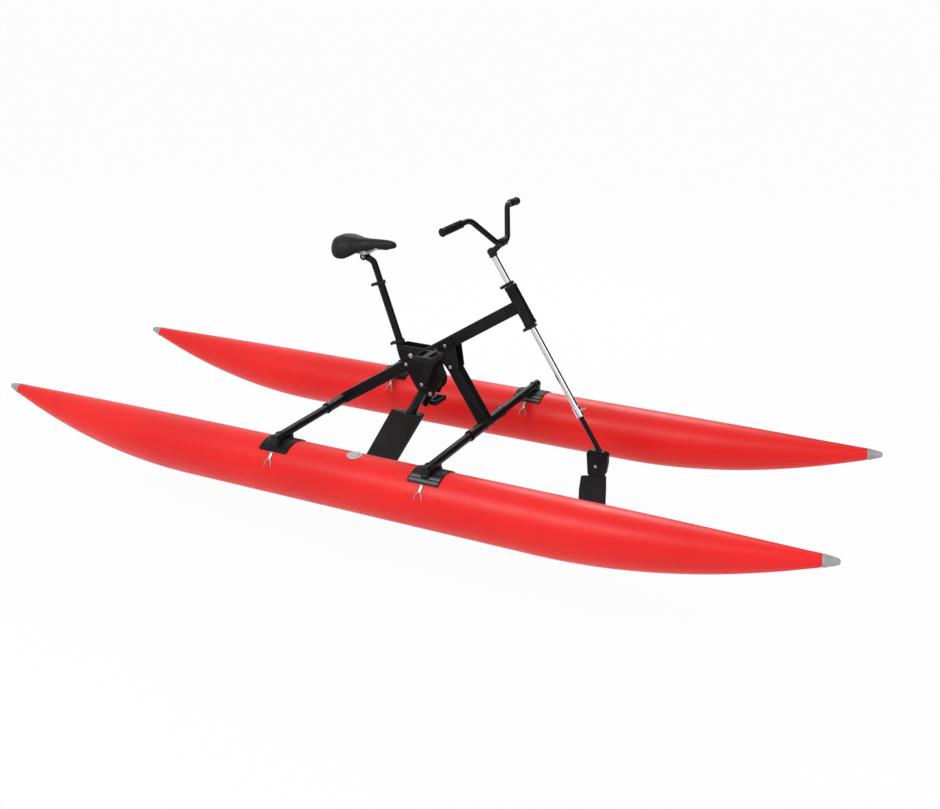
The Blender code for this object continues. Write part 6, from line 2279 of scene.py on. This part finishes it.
def blade_ring(radius, chord, thick):
    """A thin lens turned by the pitch at that radius, thickest a third of the way back."""
    slope = -math.atan2(PROP_PITCH, math.tau * radius)
    ring = []
    for index in range(BLADE_POINTS):
        angle = math.tau * index / BLADE_POINTS
        along, lift = chord / 2 * math.cos(angle), thick / 2 * math.sin(angle) * (1 + 0.25 * math.cos(angle))
        lift += thick * 0.35 * (1 - math.cos(angle) ** 2)
        ring.append((
            radius, along * math.cos(slope) - lift * math.sin(slope),
            along * math.sin(slope) + lift * math.cos(slope),
        ))
    return ring


def make_blade_pair(middle):
    rings = []
    for station in range(BLADE_STATIONS):
        share = station / (BLADE_STATIONS - 1)
        radius = BLADE_ROOT + (PROP_RADIUS - BLADE_ROOT) * share
        outer = max((radius - PROP_HUB) / (PROP_RADIUS - PROP_HUB), 0.0)
        chord = ROOT_CHORD + 0.110 * outer * (1 - outer) - 0.022 * outer**3
        if outer > TIP_START:
            chord *= math.sqrt(max(1 - ((outer - TIP_START) / (1 - TIP_START)) ** 2, 0.10))
        thick = BLADE_THICKEST * (1.25 - 0.75 * outer)
        rings.append([(x, y, z + middle) for x, y, z in blade_ring(radius, chord, thick)])
    blade = skin_over("prop_blade", rings)
    other = copy_to(blade, "prop_blade", Matrix.Rotation(math.pi, 4, "Z"))
    return unite("prop_blades", blade, other)


print("pitch of the blades:", PROP_PITCH)

# %% Hub and shaft


def make_propeller():
    aft = facing(LEG_FOOT, (-1, 0, 0), (0, 0, 1))
    front, end = 0.0506, 0.110
    profile = [
        (0.0060, front - 0.010),
        (0.0195, front),
        (0.0212, front + 0.0015),
        (PROP_HUB, front + 0.0040),
        (PROP_HUB, end - 0.026),
        (0.0212, end - 0.020),
        (0.0192, end - 0.0125),
        (0.0160, end - 0.0065),
        (0.0110, end - 0.0022),
        (0.0050, end - 0.0003),
    ]
    hub = ringed("hub", profile, aft, MOULDED, 56)
    shaft = rod("shaft", 0.0060, 0.0, front, aft, STEEL, 32)
    blades = put(make_blade_pair(front + 0.022), "blades", aft, MOULDED)
    return [hub, shaft, blades]


hand_over("propeller", *make_propeller())
print("propeller diameter:", 2 * PROP_RADIUS)

# %% [markdown]
# ## The remaining rigid solids
#
# A CAD solid has knife-sharp edges and flat facets. A copy is welded, its flat faces are joined up again,
# and a narrow bevel is put on every sharp edge, because that small radius is what catches the light.

# %% Rigid copies
EDGE_WIDTH = 0.0006


def edged_copy(node):
    """A welded copy of a rigid solid with its sharp edges rounded."""
    piece = bpy.data.objects.new(node + "_copy", NODES[node].data.copy())
    bpy.context.scene.collection.objects.link(piece)
    edit_all(piece)
    bpy.ops.mesh.remove_doubles(threshold=1e-5)
    bpy.ops.mesh.dissolve_limited(angle_limit=math.radians(0.5))
    bpy.ops.object.mode_set(mode="OBJECT")
    bevel_edges(piece, EDGE_WIDTH)
    piece.data.materials.clear()
    piece.data.materials.append(FINISHES[SLOT_OF[node]])
    return piece


for node in sorted(set(NODES) - set(STANDING_FOR)):
    hand_over(node, edged_copy(node))
bpy.data.objects.remove(SCREW)
print("pieces:", len(STANDING_FOR))
